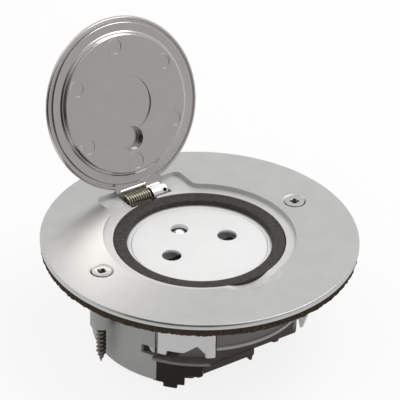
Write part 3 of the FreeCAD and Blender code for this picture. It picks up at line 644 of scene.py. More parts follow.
def dress(piece: Obj, finish: Finish, body: Body, slot: str, *nodes: str) -> None:
    """Give a piece its finish, its body and the nodes that it stands for.

    Args:
        piece: the piece.
        finish: its finish, unless it has some already.
        body: the body that it rides on.
        slot: the record's material slot; not used.
        *nodes: the nodes that it replaces.
    """
    if not piece.data.materials:
        piece.data.materials.append(finish.material())
    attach(piece, body.value)
    if nodes:
        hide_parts(*nodes)
    log.info("%s: %d faces", piece.name, len(piece.data.polygons))


def dress_where(piece: Obj, first: Finish, second: Finish, inside: Callable[[Vector], bool]) -> Obj:
    """Give a piece two finishes, the second where its faces lie in a region.

    Args:
        piece: the piece.
        first: the finish of the rest of it.
        second: the finish in the region.
        inside: tells from a face's centre, in millimetres, whether the face is in the region.

    Returns:
        The same piece.
    """
    piece.data.materials.append(first.material())
    piece.data.materials.append(second.material())
    for face in piece.data.polygons:
        face.material_index = int(inside(face.center / MM))
    return piece


def repaint(node: str, finish: Finish) -> None:
    """Give a node of the frame a node material.

    Args:
        node: the frame's node.
        finish: its finish.
    """
    obj = frame["nodes"][node]
    if not obj.data.materials:
        obj.data.materials.append(finish.material())
    for slot in obj.material_slots:
        slot.material = finish.material()
    log.info("%s keeps its shape", node)


# ---------------------------------------------------------------- shared heights and the hinge
@dataclass(frozen=True)
class Levels:
    """Heights and radii that several sub-assemblies share, in millimetres above the floor."""

    plate_top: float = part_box("cover_plate")[1][2] / MM
    plate_low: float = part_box("floor_gasket")[1][2] / MM
    plate_radius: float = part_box("cover_plate")[1][0] / MM
    ledge_depth: float = 1.35
    ledge: float = plate_top - ledge_depth
    seat_radius: float = 24.4
    seat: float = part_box("lid_seal")[0][2] / MM
    seal_top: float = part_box("lid_seal")[1][2] / MM
    seat_under: float = -0.8
    disc_top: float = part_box("socket_disc")[1][2] / MM
    screw_hole: float = 2.62
    screw_head: float = 3.05
    screw_x: float = (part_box("wood_screws")[1][0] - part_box("wood_screws")[0][0]) / 2 / MM - screw_head


LEVELS = Levels()
SIDES = (-1, 1)
PAST = 1.0  # how far a cutting tool reaches past the surface that it opens
HINGE = next(j for j in frame["joints"] if j["name"] == "lid_hinge")
HINGE_PLACE = tuple(value / MM for value in HINGE["pos_m"])
OPEN_ANGLE = HINGE["range_deg"][1]


# ---------------------------------------------------------------- cover plate
@dataclass
class CoverPlate:
    """The cast plate with its recess, hinge pocket, thumb notch and screw seats."""

    recess_radius: float = 27.2
    wall: float = 1.2
    bore_radius: float = 20.6
    pocket_half: float = 14.2
    pocket_back: float = 31.8
    pocket_corner: float = 2.0
    pocket_blend: float = 3.0
    shell_from: float = 10.0
    shell_drop: float = 0.7
    bearing_side: float = 4.2
    overlap: float = 0.3
    ledge_fillet: float = 0.8
    slot_left: float = -6.8
    slot_right: float = 7.8
    slot_front: float = 25.15
    slot_back: float = 31.0
    slot_low: float = -1.35
    slot_skin: float = 0.2
    mouth_right: float = 2.0
    mouth_drop: float = 0.6
    groove: Point2 = (1.0, 2.2)
    groove_drop: float = 0.35
    seat_overlap: float = 0.4
    rim_drop: float = 0.55
    rim_lean: float = 0.3
    notch_radius: float = 9.8
    notch_centre: float = -22.1
    notch_curve: float = 20.0
    notch_reach: float = 1.3
    screw_seat: float = 3.4

    def opening(self, grow: float = 0.0) -> list[Point2]:
        """Plan of the lid's recess with the hinge pocket behind it.

        Args:
            grow: how far the plan is grown outwards.

        Returns:
            The plan's points, right side first, round the front to the left and across the back.
        """
        radius, half = self.recess_radius + grow, self.pocket_half + grow
        back, corner, blend = self.pocket_back + grow, self.pocket_corner + grow, self.pocket_blend - grow
        blend_x = half + blend
        blend_y = math.sqrt((radius + blend) ** 2 - blend_x ** 2)
        lean = math.degrees(math.atan2(blend_y, blend_x))
        right = arc((half - corner, back - corner), corner, 90, 0)
        right += arc((blend_x, blend_y), blend, 180, 180 + lean)
        left = [(-x, y) for x, y in reversed(right)]
        return right + arc((0, 0), radius, lean, -180 - lean, 150)[1:-1] + left

    def build(self) -> Obj:
        """Model the casting.

        Returns:
            The casting.
        """
        top, low, under = LEVELS.plate_top, LEVELS.plate_low, LEVELS.ledge - self.wall
        edge, seat, bore = LEVELS.plate_radius, LEVELS.seat_radius, self.bore_radius
        casting = lathe("plate_casting", [
            (edge, low), (edge, top - self.rim_drop), (edge - self.rim_lean, top), (seat, top),
            (seat, LEVELS.seat), (bore, LEVELS.seat), (bore, LEVELS.seat_under),
            (seat + self.wall, LEVELS.seat_under), (seat + self.wall, under),
            (self.recess_radius + self.wall, under), (self.recess_radius + self.wall, low)], 256)
        plan = [(x, y) for x, y in self.opening(self.wall) if y > self.shell_from]
        shell = prism("pocket_shell", plan, under, top - self.shell_drop)
        bearing = bar(
            "bearing", (self.slot_left - self.bearing_side, seat + self.overlap, self.slot_low - self.wall),
            (self.slot_right + self.bearing_side, self.pocket_back + self.wall, LEVELS.ledge + self.overlap))
        weld(casting, shell, bearing)
        cut(casting, self._opening_tool(), cylinder("seat_tool", seat, LEVELS.seat, top + PAST, steps=160))
        cut(casting, *self._hinge_tools(), self._notch_tool(), *self._screw_tools())
        soften(casting, 0.12, 2)
        return dress_where(casting, PLATE_METAL, RECESS_METAL, self._in_recess)

    def _in_recess(self, spot: Vector) -> bool:
        """Tell whether a place is on the cast surface below the plate's top."""
        return math.hypot(spot.x, spot.y) < self.pocket_back + 3 and spot.z < LEVELS.plate_top - 0.04

    def _opening_tool(self) -> Obj:
        """The opening as a solid whose lower rim is rounded, which leaves a fillet on the ledge.

        Returns:
            The solid.
        """
        tool = prism("opening_tool", self.opening(), LEVELS.ledge, LEVELS.plate_top + 2 * PAST)
        with editing(tool, "DESELECT"):
            mesh = bmesh.from_edit_mesh(tool.data)
            for edge in mesh.edges:
                edge.select = all(v.co.z < LEVELS.ledge * MM + 1e-6 for v in edge.verts)
            bmesh.update_edit_mesh(tool.data)
            bpy.ops.mesh.bevel(offset=self.ledge_fillet * MM, segments=4, affect="EDGES", clamp_overlap=False)
        return tool

    def _hinge_tools(self) -> list[Obj]:
        """Slot for spring and knuckle, the leg's groove, and the slot's mouth before the spring.

        Returns:
            The three solids.
        """
        front, axis = LEVELS.seat_radius - self.seat_overlap, HINGE_PLACE[2]
        back, top = self.slot_front + PAST, LEVELS.plate_top - self.slot_skin
        return [bar(name, low, high) for name, low, high in (
            ("hinge_slot", (self.slot_left, self.slot_front, self.slot_low),
             (self.slot_right, self.slot_back, top)),
            ("leg_groove", (self.groove[0], front, axis - self.groove_drop), (self.groove[1], back, top)),
            ("slot_mouth", (self.slot_left, front, axis - self.mouth_drop), (self.mouth_right, back, top)))]

    def _notch_tool(self) -> Obj:
        """The thumb notch as a cap of a large ball.

        Returns:
            The cap.
        """
        curve = self.notch_curve
        height = LEVELS.plate_top + math.sqrt(curve ** 2 - self.notch_radius ** 2)
        reach = math.degrees(math.asin(self.notch_radius * self.notch_reach / curve))
        middle = (0.0, height - curve * math.cos(math.radians(reach)))
        cap = lathe("notch_tool", [middle, *arc((0, height), curve, -90 + reach, -90, 14)], 96)
        cap.location = (0, self.notch_centre * MM, 0)
        return settle(cap)

    def _screw_tools(self) -> list[Obj]:
        """Countersinks and clearance holes for the wood screws.

        Returns:
            The four solids.
        """
        tools, top, hole = [], LEVELS.plate_top, LEVELS.screw_hole
        for side in SIDES:
            place = (side * LEVELS.screw_x, 0.0)
            tools.append(cylinder("sink_tool", hole, top - (self.screw_seat - hole), top + PAST, place,
                                  self.screw_seat + PAST, 64))
            tools.append(cylinder("hole_tool", hole, LEVELS.seat_under, top, place))
        return tools


@dataclass
class Foams:
    """The floor gasket under the plate and the seal that the lid closes on."""

    gasket_out: float = 44.75
    gasket_in: float = 36.7
    gasket_rows: int = 5
    gasket_bevel: float = 0.15
    seal_out: float = 24.2
    seal_in: float = 20.5
    seal_outer_round: float = 0.35
    seal_inner_round: float = 0.75
    tear: float = 0.36
    tear_size: float = 0.9

    def build_gasket(self) -> Obj:
        """Model the gasket with a torn, cellular edge.

        Returns:
            The gasket.
        """
        high, rows = LEVELS.plate_low, self.gasket_rows
        rim = [(self.gasket_out - (self.gasket_bevel if i in (0, rows) else 0.0), high * i / rows)
               for i in range(rows + 1)]
        gasket = lathe("gasket_ring", [(self.gasket_in, 0.0), *rim, (self.gasket_in, high)], 420)
        texture = bpy.data.textures.new("foam_tear", "CLOUDS")
        texture.noise_scale = self.tear_size * MM
        texture.noise_depth = 1
        group = gasket.vertex_groups.new(name="rim")
        edge = (self.gasket_out - 1) * MM
        group.add([v.index for v in gasket.data.vertices if math.hypot(v.co.x, v.co.y) > edge], 1.0,
                  "REPLACE")
        modify(gasket, "DISPLACE", texture=texture, strength=-self.tear * MM * 2, mid_level=0.4,
               vertex_group="rim")
        return shade(gasket, 60)

    def build_seal(self) -> Obj:
        """Model the seal with rounded upper edges.

        Returns:
            The seal.
        """
        low, high = LEVELS.seat, LEVELS.seal_top
        wide, narrow = self.seal_inner_round, self.seal_outer_round
        outer = arc((self.seal_out - narrow, high - narrow), narrow, 0, 90, 4)
        inner = arc((self.seal_in + wide, high - wide), wide, 90, 180, 6)
        return shade(lathe("seal_ring", [(self.seal_in, low), (self.seal_out, low), *outer, *inner], 200), 50)


# ---------------------------------------------------------------- lid and hinge
def swing_open(piece: Obj) -> Obj:
    """Put a piece drawn about the hinge axis with the lid shut where it is with the lid open.

    Args:
        piece: the piece.

    Returns:
        The same piece.
    """
    piece.rotation_euler = (math.radians(-OPEN_ANGLE), 0, 0)
    piece.location = Vector(HINGE_PLACE) * MM
    return settle(piece)


@dataclass
class Lid:
    """The lid casting, drawn shut about the hinge axis and swung open."""

    radius: float = 25.12
    top: float = 2.3
    lip_width: float = 1.0
    lip_depth: float = 1.05
    groove_depth: float = 0.55
    ring_depth: float = 1.2
    step_radius: float = 20.9
    plug_radius: float = 19.9
    plug_depth: float = 2.7
    tongue_left: float = -7.9
    tongue_right: float = 6.8
    tongue_end: float = 2.95
    tongue_root: float = 8.0
    web_root: float = 2.0
    web_drop: float = 0.25
    edge_round: float = 0.08
    knuckle_radius: float = 2.25
    knuckle_left: float = 2.2
    knuckle_right: float = 7.5
    knuckle_round: float = 0.6
    pin_radius: float = 0.8
    dimple_radius: float = 8.4
    dimple_depth: float = 0.42
    relief_offset: float = 10.25
    relief_radius: float = 3.5
    relief_depth: float = 2.1
    bead_left: float = -6.6
    bead_radius: float = 0.6
    bead_place: Point2 = (-0.25, 0.42)
    bead_bevel: float = 0.2
    cross_radius: float = 0.6
    cross_inset: float = 1.3
    cross_lean: float = 160.0
    mark_count: int = 6
    mark_circle: float = 17.0
    mark_radius: float = 2.1
    mark_depth: float = 0.17

    def build(self) -> Obj:
        """Model the lid shut, then swing it open.

        Returns:
            The lid.
        """
        edge, step, plug, rim = self.radius, self.step_radius, self.plug_radius, self.radius - self.lip_width
        face, lip, groove, land, deep = (
            self.top - depth for depth in (0, self.lip_depth, self.groove_depth, self.ring_depth,
                                           self.plug_depth))
        shell = lathe("lid_casting", [
            (0.0, face), *arc((edge - 0.45, face - 0.45), 0.45, 90, 0, 4),
            (edge - 0.35, lip + 0.1), (edge - 0.45, lip), (rim + 0.08, lip), (rim, lip + 0.08),
            (rim - 0.1, groove), (rim - 0.75, groove), (rim - 0.85, land + 0.1), (rim - 0.95, land),
            (step + 0.1, land), (step - 0.1, land - 0.1), (step - 0.4, land - 0.35),
            (plug + 0.25, land - 0.4), (plug + 0.1, land - 0.55),
            *arc((plug - 0.25, deep + 0.25), 0.25, 0, -90, 4), (0.0, deep)], 200)
        shell.location = (0, -HINGE_PLACE[1] * MM, 0)
        settle(shell)
        end = -self.tongue_end
        weld(shell, bar("tongue", (self.tongue_left, end - self.tongue_root, lip),
                        (self.tongue_right, end, face)),
             bar("web", (self.knuckle_left, end - self.web_root, lip),
                 (self.knuckle_right, 0, face - self.web_drop)))
        cut(shell, *self._face_tools(), self._bore())
        return swing_open(soften(shell, self.edge_round, 2, 40))

    def build_knuckle(self) -> Obj:
        """Model the machined knuckle at the tongue's right end, and the bead along the tongue.

        Returns:
            The knuckle.
        """
        long, radius, corner = self.knuckle_right - self.knuckle_left, self.knuckle_radius, self.knuckle_round
        body = lathe("knuckle", [(0.0, 0.0), (radius, 0.0), (radius, long - corner),
                                 *arc((radius - corner, long - corner), corner, 0, 90, 5), (0.0, long)], 64)
        knuckle = cut(lay_along_x(body, (self.knuckle_left, 0, 0)), self._bore(), self._cross_hole())
        soften(knuckle, self.edge_round, 2, 40)
        r, bevel, reach = self.bead_radius, self.bead_bevel, self.knuckle_left - self.bead_left
        bead = lathe("tongue_bead", [(0.0, 0.0), (r - bevel, 0.0), (r, bevel), (r, reach), (0.0, reach)], 40)
        out, up = self.bead_place
        place = (self.bead_left, -self.tongue_end + out, self.top - self.lip_depth + up)
        return swing_open(join("lid_knuckle", [knuckle, shade(lay_along_x(bead, place))]))

    def _face_tools(self) -> list[Obj]:
        """Shallow recess, blind hole and the six round marks of the plug's face.

        Returns:
            The solids.
        """
        face, centre = self.top - self.plug_depth, -HINGE_PLACE[1]
        low, hole = face - PAST, self.relief_radius
        tools = [cylinder("dimple_tool", self.dimple_radius, low, face + self.dimple_depth, (0, centre),
                          steps=96),
                 cylinder("relief_tool", hole + 0.15, low, face + self.relief_depth,
                          (0, centre + self.relief_offset), hole - 0.3, 72)]
        for i in range(self.mark_count):
            angle = math.radians(360 / self.mark_count * (i + 0.5))
            place = (self.mark_circle * math.cos(angle), centre + self.mark_circle * math.sin(angle))
            tools.append(cylinder("mark_tool", self.mark_radius, low, face + self.mark_depth, place))
        return tools

    def _bore(self) -> Obj:
        """The pin's bore as a solid."""
        start, end = self.knuckle_left - PAST, self.knuckle_right + PAST
        return lay_along_x(cylinder("bore_tool", self.pin_radius, 0, end - start), (start, 0, 0))

    def _cross_hole(self) -> Obj:
        """The small hole across the knuckle as a solid.

        Returns:
            The solid.
        """
        cross = cylinder("cross_tool", self.cross_radius, 0, 3)
        cross.rotation_euler = (math.radians(self.cross_lean), 0, 0)
        cross.location = Vector((self.knuckle_right - self.cross_inset, 0, 0)) * MM
        return settle(cross)


@dataclass
class Hinge:
    """The hinge pin and the torsion spring beside the knuckle."""

    pin_radius: float = 0.75
    pin_bevel: float = 0.15
    wire: float = 0.23
    coil: float = 1.98
    turns: int = 10
    per_turn: int = 24
    start: float = -6.3
    length: float = 7.9
    leg: float = 3.3
    leg_side: float = 1.838
    lift: Point2 = (-0.15, 0.45)

    def build_pin(self) -> Obj:
        """Model the pin with bevelled ends.

        Returns:
            The pin.
        """
        low, high = (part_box("hinge_pin")[i][0] / MM for i in (0, 1))
        r, bevel, length = self.pin_radius, self.pin_bevel, high - low
        pin = lathe("hinge_rod", [(0.0, 0.0), (r - bevel, 0.0), (r, bevel), (r, length - bevel),
                                  (r - bevel, length), (0.0, length)], 40)
        return shade(lay_along_x(pin, (low, HINGE_PLACE[1], HINGE_PLACE[2])))

    def build_spring(self) -> Obj:
        """Model the spring as a wire along a helix that ends in a straight leg.

        Returns:
            The spring.
        """
        leg_z = math.sqrt(self.coil ** 2 - self.leg_side ** 2)
        end = math.atan2(leg_z, -self.leg_side)
        count = self.turns * self.per_turn
        points = []
        for i in range(count + 1):
            angle = end - 2 * math.pi * (count - i) / self.per_turn
            points.append((self.start + self.length * i / count, self.coil * math.cos(angle),
                           self.coil * math.sin(angle)))
        points.append((points[-1][0], -self.leg, points[-1][2]))
        pick(trace("hinge_coil", points, closed=False))
        bpy.ops.object.convert(target="CURVE")
        curve = bpy.context.object.data
        curve.bevel_depth = self.wire * MM
        curve.bevel_resolution = 4
        curve.use_fill_caps = True
        bpy.ops.object.convert(target="MESH")
        spring = swing_open(shade(bpy.context.object, 60))
        spring.location = (0, self.lift[0] * MM, self.lift[1] * MM)
        return settle(spring)


# ---------------------------------------------------------------- outlet
@dataclass
class Outlet:
    """The white well, the sinking disc and the earth pin."""

    pole: float = 9.5
    earth: float = 10.0
    pole_hole: float = 2.75
    earth_hole: float = 2.5
    disc_radius: float = 19.2
    disc_thick: float = 2.2
    disc_wall: float = 1.6
    disc_round: float = 0.3
    rim_depth: float = 5.0
    disc_gap: float = 0.1
    well_out: float = 20.5
    well_bevel: float = 0.15
    flange: float = 24.1
    flange_low: float = -2.3
    deck_top: float = -11.4
    deck_low: float = -12.9
    deck_pole_hole: float = 2.9
    deck_earth_hole: float = 2.45
    cup_circle: float = 15.5
    cup_angles: tuple[int, ...] = (45, 135, 270)
    cup_radius: float = 3.3
    cup_hole: float = 2.5
    cup_depth: float = 4.5
    cup_floor: float = 0.8
    relief: float = 1.3
    skins: Point3 = (0.9, 0.9, 1.5)
    earth_rod: float = 2.1
    earth_base: float = 2.4
    earth_neck: Point2 = (6.0, 6.5)
    collar: float = -13.0
    collar_thick: float = 1.2
    collar_wide: float = 0.8

    def build_disc(self) -> Obj:
        """Model the disc with its pin holes, relieved from below.

        Returns:
            The disc.
        """
        top, r, corner = LEVELS.disc_top, self.disc_radius, self.disc_round
        disc = lathe("disc_face", [
            (0.0, top), *arc((r - corner, top - corner), corner, 90, 0, 4), (r, top - self.rim_depth),
            (r - self.disc_wall, top - self.rim_depth), (r - self.disc_wall, top - self.disc_thick),
            (0.0, top - self.disc_thick)], 160)
        holes = [((-self.pole, 0.0), self.pole_hole), ((self.pole, 0.0), self.pole_hole),
                 ((0.0, self.earth), self.earth_hole)]
        for place, radius in holes:
            cut(disc, cylinder("pin_hole", radius, top - 4, top + PAST, place, steps=64))
        for (place, radius), skin in zip(holes, self.skins):
            cut(disc, cylinder("pin_relief", radius + self.relief, top - 4, top - skin, place, steps=64))
        return soften(disc, 0.22, 3, 40)

    def build_well(self) -> Obj:
        """Model the well's wall, flange and deck.

        Returns:
            The well.
        """
        top, inner = LEVELS.disc_top, self.disc_radius + self.disc_gap
        out, bevel = self.well_out, self.well_bevel
        low, high = self.deck_low, self.deck_top
        well = lathe("well_cup", [
            (inner, top - bevel), (inner + bevel, top), (out - bevel, top), (out, top - bevel),
            (out, LEVELS.seat_under), (self.flange, LEVELS.seat_under), (self.flange, self.flange_low),
            (out, self.flange_low), (out, low), (0.0, low), (0.0, high), (inner, high)], 160)
        for radius, place in ((self.deck_pole_hole, (-self.pole, 0)), (self.deck_pole_hole, (self.pole, 0)),
                              (self.deck_earth_hole, (0, self.earth))):
            cut(well, cylinder("deck_hole", radius, low - PAST, high + PAST, place))
        cups = []
        for angle in map(math.radians, self.cup_angles):
            place = (self.cup_circle * math.cos(angle), self.cup_circle * math.sin(angle))
            cups.append(cylinder("cup", self.cup_radius, low - self.cup_depth, low + 0.2, place))
            cut(well, cylinder("cup_hole", self.cup_hole, low - PAST, high + PAST, place))
            cut(cups[-1], cylinder("cup_hole", self.cup_hole, low - self.cup_depth + self.cup_floor,
                                   low + PAST, place))
        weld(well, *cups)
        return soften(well, 0.0)

    def build_earth(self) -> Obj:
        """Model the earth pin with its domed tip and collar.

        Returns:
            The pin.
        """
        (_, near, low), (_, far, high) = (tuple(v / MM for v in c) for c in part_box("earth_pin"))
        r, tip, collar = self.earth_base, self.earth_rod, self.collar
        wide, dome = r + self.collar_wide, tip * 0.8
        pin = lathe("earth_rod", [
            (0.0, low), (r, low), (r, collar - self.collar_thick), (wide, collar - self.collar_thick),
            (wide, collar), (r, collar), (r, collar + self.earth_neck[0]), (tip, collar + self.earth_neck[1]),
            (tip, high - dome), *arc((tip - dome, high - dome), dome, 0, 90, 10)[1:], (0.0, high)], 64)
        pin.location = (0, (near + far) / 2 * MM, 0)
        return shade(settle(pin), 40)


# ---------------------------------------------------------------- fixings
@dataclass
class WoodScrew:
    """A countersunk wood screw with a cross recess and a tapered thread."""

    head: float = 2.85
    head_round: float = 0.12
    sunk: float = 0.05
    major: float = 1.45
    core: float = 0.95
    pitch: float = 1.35
    thread_top: float = -12.5
    tip: float = -27.0
    taper: float = 3.6
    slot: Point3 = (0.4, 1.3, 1.3)
    slot_turn: float = 12.0
    hub: Point3 = (0.4, 1.35, 1.7)
    bright: float = 0.9

    def build(self, side: int) -> Obj:
        """Model one screw.

        Args:
            side: -1 for the left screw, 1 for the right one.

        Returns:
            The screw.
        """
        top, core, corner = LEVELS.plate_top - self.sunk, self.core, self.head_round
        neck = top - self.head + core
        body = lathe("screw_body", [
            (0.0, top), *arc((self.head - corner, top - corner), corner, 90, -20, 3), (core + 0.15, neck),
            (core, neck - 0.3), (core, self.tip + self.taper), (0.06, self.tip), (0.0, self.tip)], 48)
        half, reach, depth = self.slot
        for angle in (45, 135):
            slot = bar("slot_tool", (-half, -reach, top - depth), (half, reach, top + PAST))
            slot.rotation_euler = (0, 0, math.radians(angle + self.slot_turn * side))
            cut(body, settle(slot))
        low_radius, high_radius, deep = self.hub
        cut(body, cylinder("hub_tool", low_radius, top - deep, top + 0.5, top_radius=high_radius, steps=24))
        soften(body, 0.05, 1, 40)
        screw = join(f"wood_screw_{'left' if side < 0 else 'right'}", [body, self._thread()])
        dress_where(screw, SCREW_THREAD, SCREW_HEAD, lambda spot: spot.z > top - self.bright)
        screw.location = (side * LEVELS.screw_x * MM, 0, 0)
        return settle(screw)

    def _thread(self) -> Obj:
        """Wind a ridge round the core and taper it to the tip.

        Returns:
            The thread.
        """
        half, inner = self.pitch * 0.3, self.core - 0.1
        thread = trace("screw_thread", [(inner, 0, -half), (self.major, 0, -0.05), (self.major, 0, 0.05),
                                        (inner, 0, half)], closed=False)
        turns = int((self.thread_top - self.tip - 0.4) / self.pitch)
        modify(thread, "SCREW", angle=2 * math.pi, screw_offset=self.pitch * MM, iterations=turns, steps=24,
               render_steps=24, use_merge_vertices=True, merge_threshold=0.001 * MM)
        lowest = min(v.co.z for v in thread.data.vertices)
        thread.location = (0, 0, (self.tip + 0.3) * MM - lowest)
        settle(thread)
        for vertex in thread.data.vertices:
            shrink = min(max((vertex.co.z / MM - self.tip) / self.taper, 0.05), 1)
            vertex.co.x *= shrink
            vertex.co.y *= shrink
        return shade(thread, 40)


# ---------------------------------------------------------------- floor box
@dataclass
class FloorBox:
    """The plastic box sunk in the floor, its clip and the corner guard."""

    radius: float = 30.2
    wall: float = 1.5
    flange_radius: float = 36.3
    flange_low: float = 0.9
    flange_top: float = 2.2
    overlap: float = 0.1
    deep_low: float = -26.7
    high_low: float = -14.7
    deep_from: float = 60.0
    deep_sweep: float = 152.5
    gate_to: float = -115.6
    gate_gap: float = 0.3
    clip_angle: float = -59.4
    clip_sweep: float = 3.8
    clip_low: float = -18.2
    shelf_low: float = -20.6
    boss_radius: float = 3.2
    boss_low: float = -14.2
    bead: float = 0.55
    bead_high: float = 1.1
    bead_root: float = 0.3
    window: Point2 = (203.5, 8.5)
    window_heights: Point2 = (-18.6, -15.9)
    hinge_room: tuple[Point3, Point3] = ((-15.7, 13.6, -2.6), (15.7, 38.0, 3.2))

    def build_wall(self) -> Obj:
        """Model the flange, the deep and shallow wall and the screw bosses, with painted shade on the shallow
        wall.

        Returns:
            The wall.
        """
        inner, outer, top = self.radius - self.wall, self.radius, self.flange_top
        rim, low = self.flange_low + self.overlap, self.high_low
        box = lathe("box_wall", [(self.flange_radius, self.flange_low), (self.flange_radius, top),
                                 (inner, top), (inner, self.flange_low)], 160)
        start = self.gate_to + self.gate_gap
        sweep = self.deep_from - start
        weld(box, ring("deep", (inner, outer), (self.deep_low, rim), 64, self.deep_from, self.deep_sweep),
             ring("shallow", (inner, outer), (low, rim), 72, start, sweep),
             ring("wall_bead", (inner + self.bead_root, outer + self.bead), (low, low + self.bead_high), 72,
                  start, sweep),
             *[cylinder("boss", self.boss_radius, self.boss_low, top - self.overlap,
                        (side * LEVELS.screw_x, 0)) for side in SIDES])
        for side in SIDES:
            cut(box, cylinder("boss_hole", LEVELS.screw_hole, self.boss_low - PAST, top + PAST,
                              (side * LEVELS.screw_x, 0)))
        cut(box, bar("hinge_room", *self.hinge_room),
            ring("window", (inner - PAST, outer + PAST), self.window_heights, 8, *self.window))
        soften(box, 0.25, 2, 40)
        # painted shade: the shallow wall between rim and bead gets the darker copy of the box plastic
        return dress_where(box, BOX_PLASTIC, BOX_PAINTED_SHADE, self._in_painted_shade)

    def _in_painted_shade(self, spot: Vector) -> bool:
        """Tell whether a place is on the shallow wall between rim and bead, which gets painted shade."""
        angle, radius = math.degrees(math.atan2(spot.y, spot.x)), math.hypot(spot.x, spot.y)
        return (self.gate_to < angle < self.deep_from and radius < self.radius + 0.1
                and self.high_low + self.bead_high - 0.05 < spot.z < self.flange_low + 0.3)

    def build_clip(self) -> Obj:
        """Model the pointed white clip under the rim at the right.

        Returns:
            The clip.
        """
        r, top, low = self.radius, self.high_low + 0.6, self.clip_low
        clip = lathe("corner_clip", [
            (r - 0.3, top), (r + 2.9, top), (r + 2.9, top - 0.7), (r + 1.9, low), (r + 1.3, low),
            (r + 0.6, top - 1.2), (r - 0.3, top - 1.2)], 6, self.clip_angle, self.clip_sweep)
        return soften(clip, 0.2, 2, 40)

    def build_guard(self) -> Obj:
        """Round the corner guard's edges and paint light on its upper part with a paler copy of its plastic.
        """
        guard = soften(merged_copy("cable_guard", "corner_guard"), 0.22, 2, 40)
        # painted light: faces above the shelf's foot get the paler copy of the guard's black plastic
        return dress_where(guard, GUARD_PLASTIC, SHELF_PAINTED_LIGHT, lambda spot: spot.z > self.shelf_low)


def main() -> None:
    """Build every sub-assembly and report each piece."""
    logging.basicConfig(level=logging.INFO, format="%(name)s %(message)s")
    base, foams, lid, hinge, outlet, box = Body.BASE, Foams(), Lid(), Hinge(), Outlet(), FloorBox()
    for build, finish, body, slot, *nodes in (
            (CoverPlate().build, PLATE_METAL, base, "die_cast", "cover_plate"),
            (foams.build_gasket, GASKET_FOAM, base, "foam", "floor_gasket"),
            (foams.build_seal, SEAL_FOAM, base, "seal_rubber", "lid_seal"),
            (lid.build, LID_METAL, Body.LID, "die_cast", "lid"),
            (lid.build_knuckle, BRIGHT_METAL, Body.LID, "die_cast"),
            (hinge.build_pin, DARK_STEEL, base, "steel", "hinge_pin"),
            (hinge.build_spring, SPRING_WIRE, Body.LID, "steel", "hinge_spring"),
            (outlet.build_disc, WHITE_PLASTIC, Body.DISC, "white_plastic", "socket_disc"),
            (outlet.build_well, WHITE_PLASTIC, base, "white_plastic", "outlet_well"),
            (outlet.build_earth, BRIGHT_METAL, base, "nickel_brass", "earth_pin"),
            (lambda: WoodScrew().build(-1), SCREW_THREAD, base, "steel", "wood_screws"),
            (lambda: WoodScrew().build(1), SCREW_THREAD, base, "steel"),
            (box.build_wall, BOX_PLASTIC, base, "grey_plastic", "mounting_skirt"),
            (box.build_clip, GATE_PLASTIC, base, "white_plastic"),
            (box.build_guard, GUARD_PLASTIC, base, "dark_plastic", "cable_guard")):
        dress(build(), finish, body, slot, *nodes)
    for node, name, width, finish, slot in (
            ("entry_gate", "box_gate", 0.4, GATE_PLASTIC, "white_plastic"),
            ("mechanism_housing", "mechanism_block", 0.2, DARK_PLASTIC, "dark_plastic"),
            ("rear_cover", "block_cover", 0.2, DARK_PLASTIC, "dark_plastic")):
        dress(soften(merged_copy(node, name), width, 3, 40), finish, base, slot, node)
    for finish, nodes in (
            (SPRING_WIRE, ("disc_springs", "shutter_spring")), (WHITE_PLASTIC, ("shutter_tray",)),
            (DARK_PLASTIC, ("safety_shutter",)),
            (BRASS, ("earth_strap", "line_contact", "neutral_contact", "terminal_clamps")),
            (SCREW_HEAD, ("terminal_screws", "well_screws", "housing_screws"))):
        for node in nodes:
            repaint(node, finish)
    Studio().build()


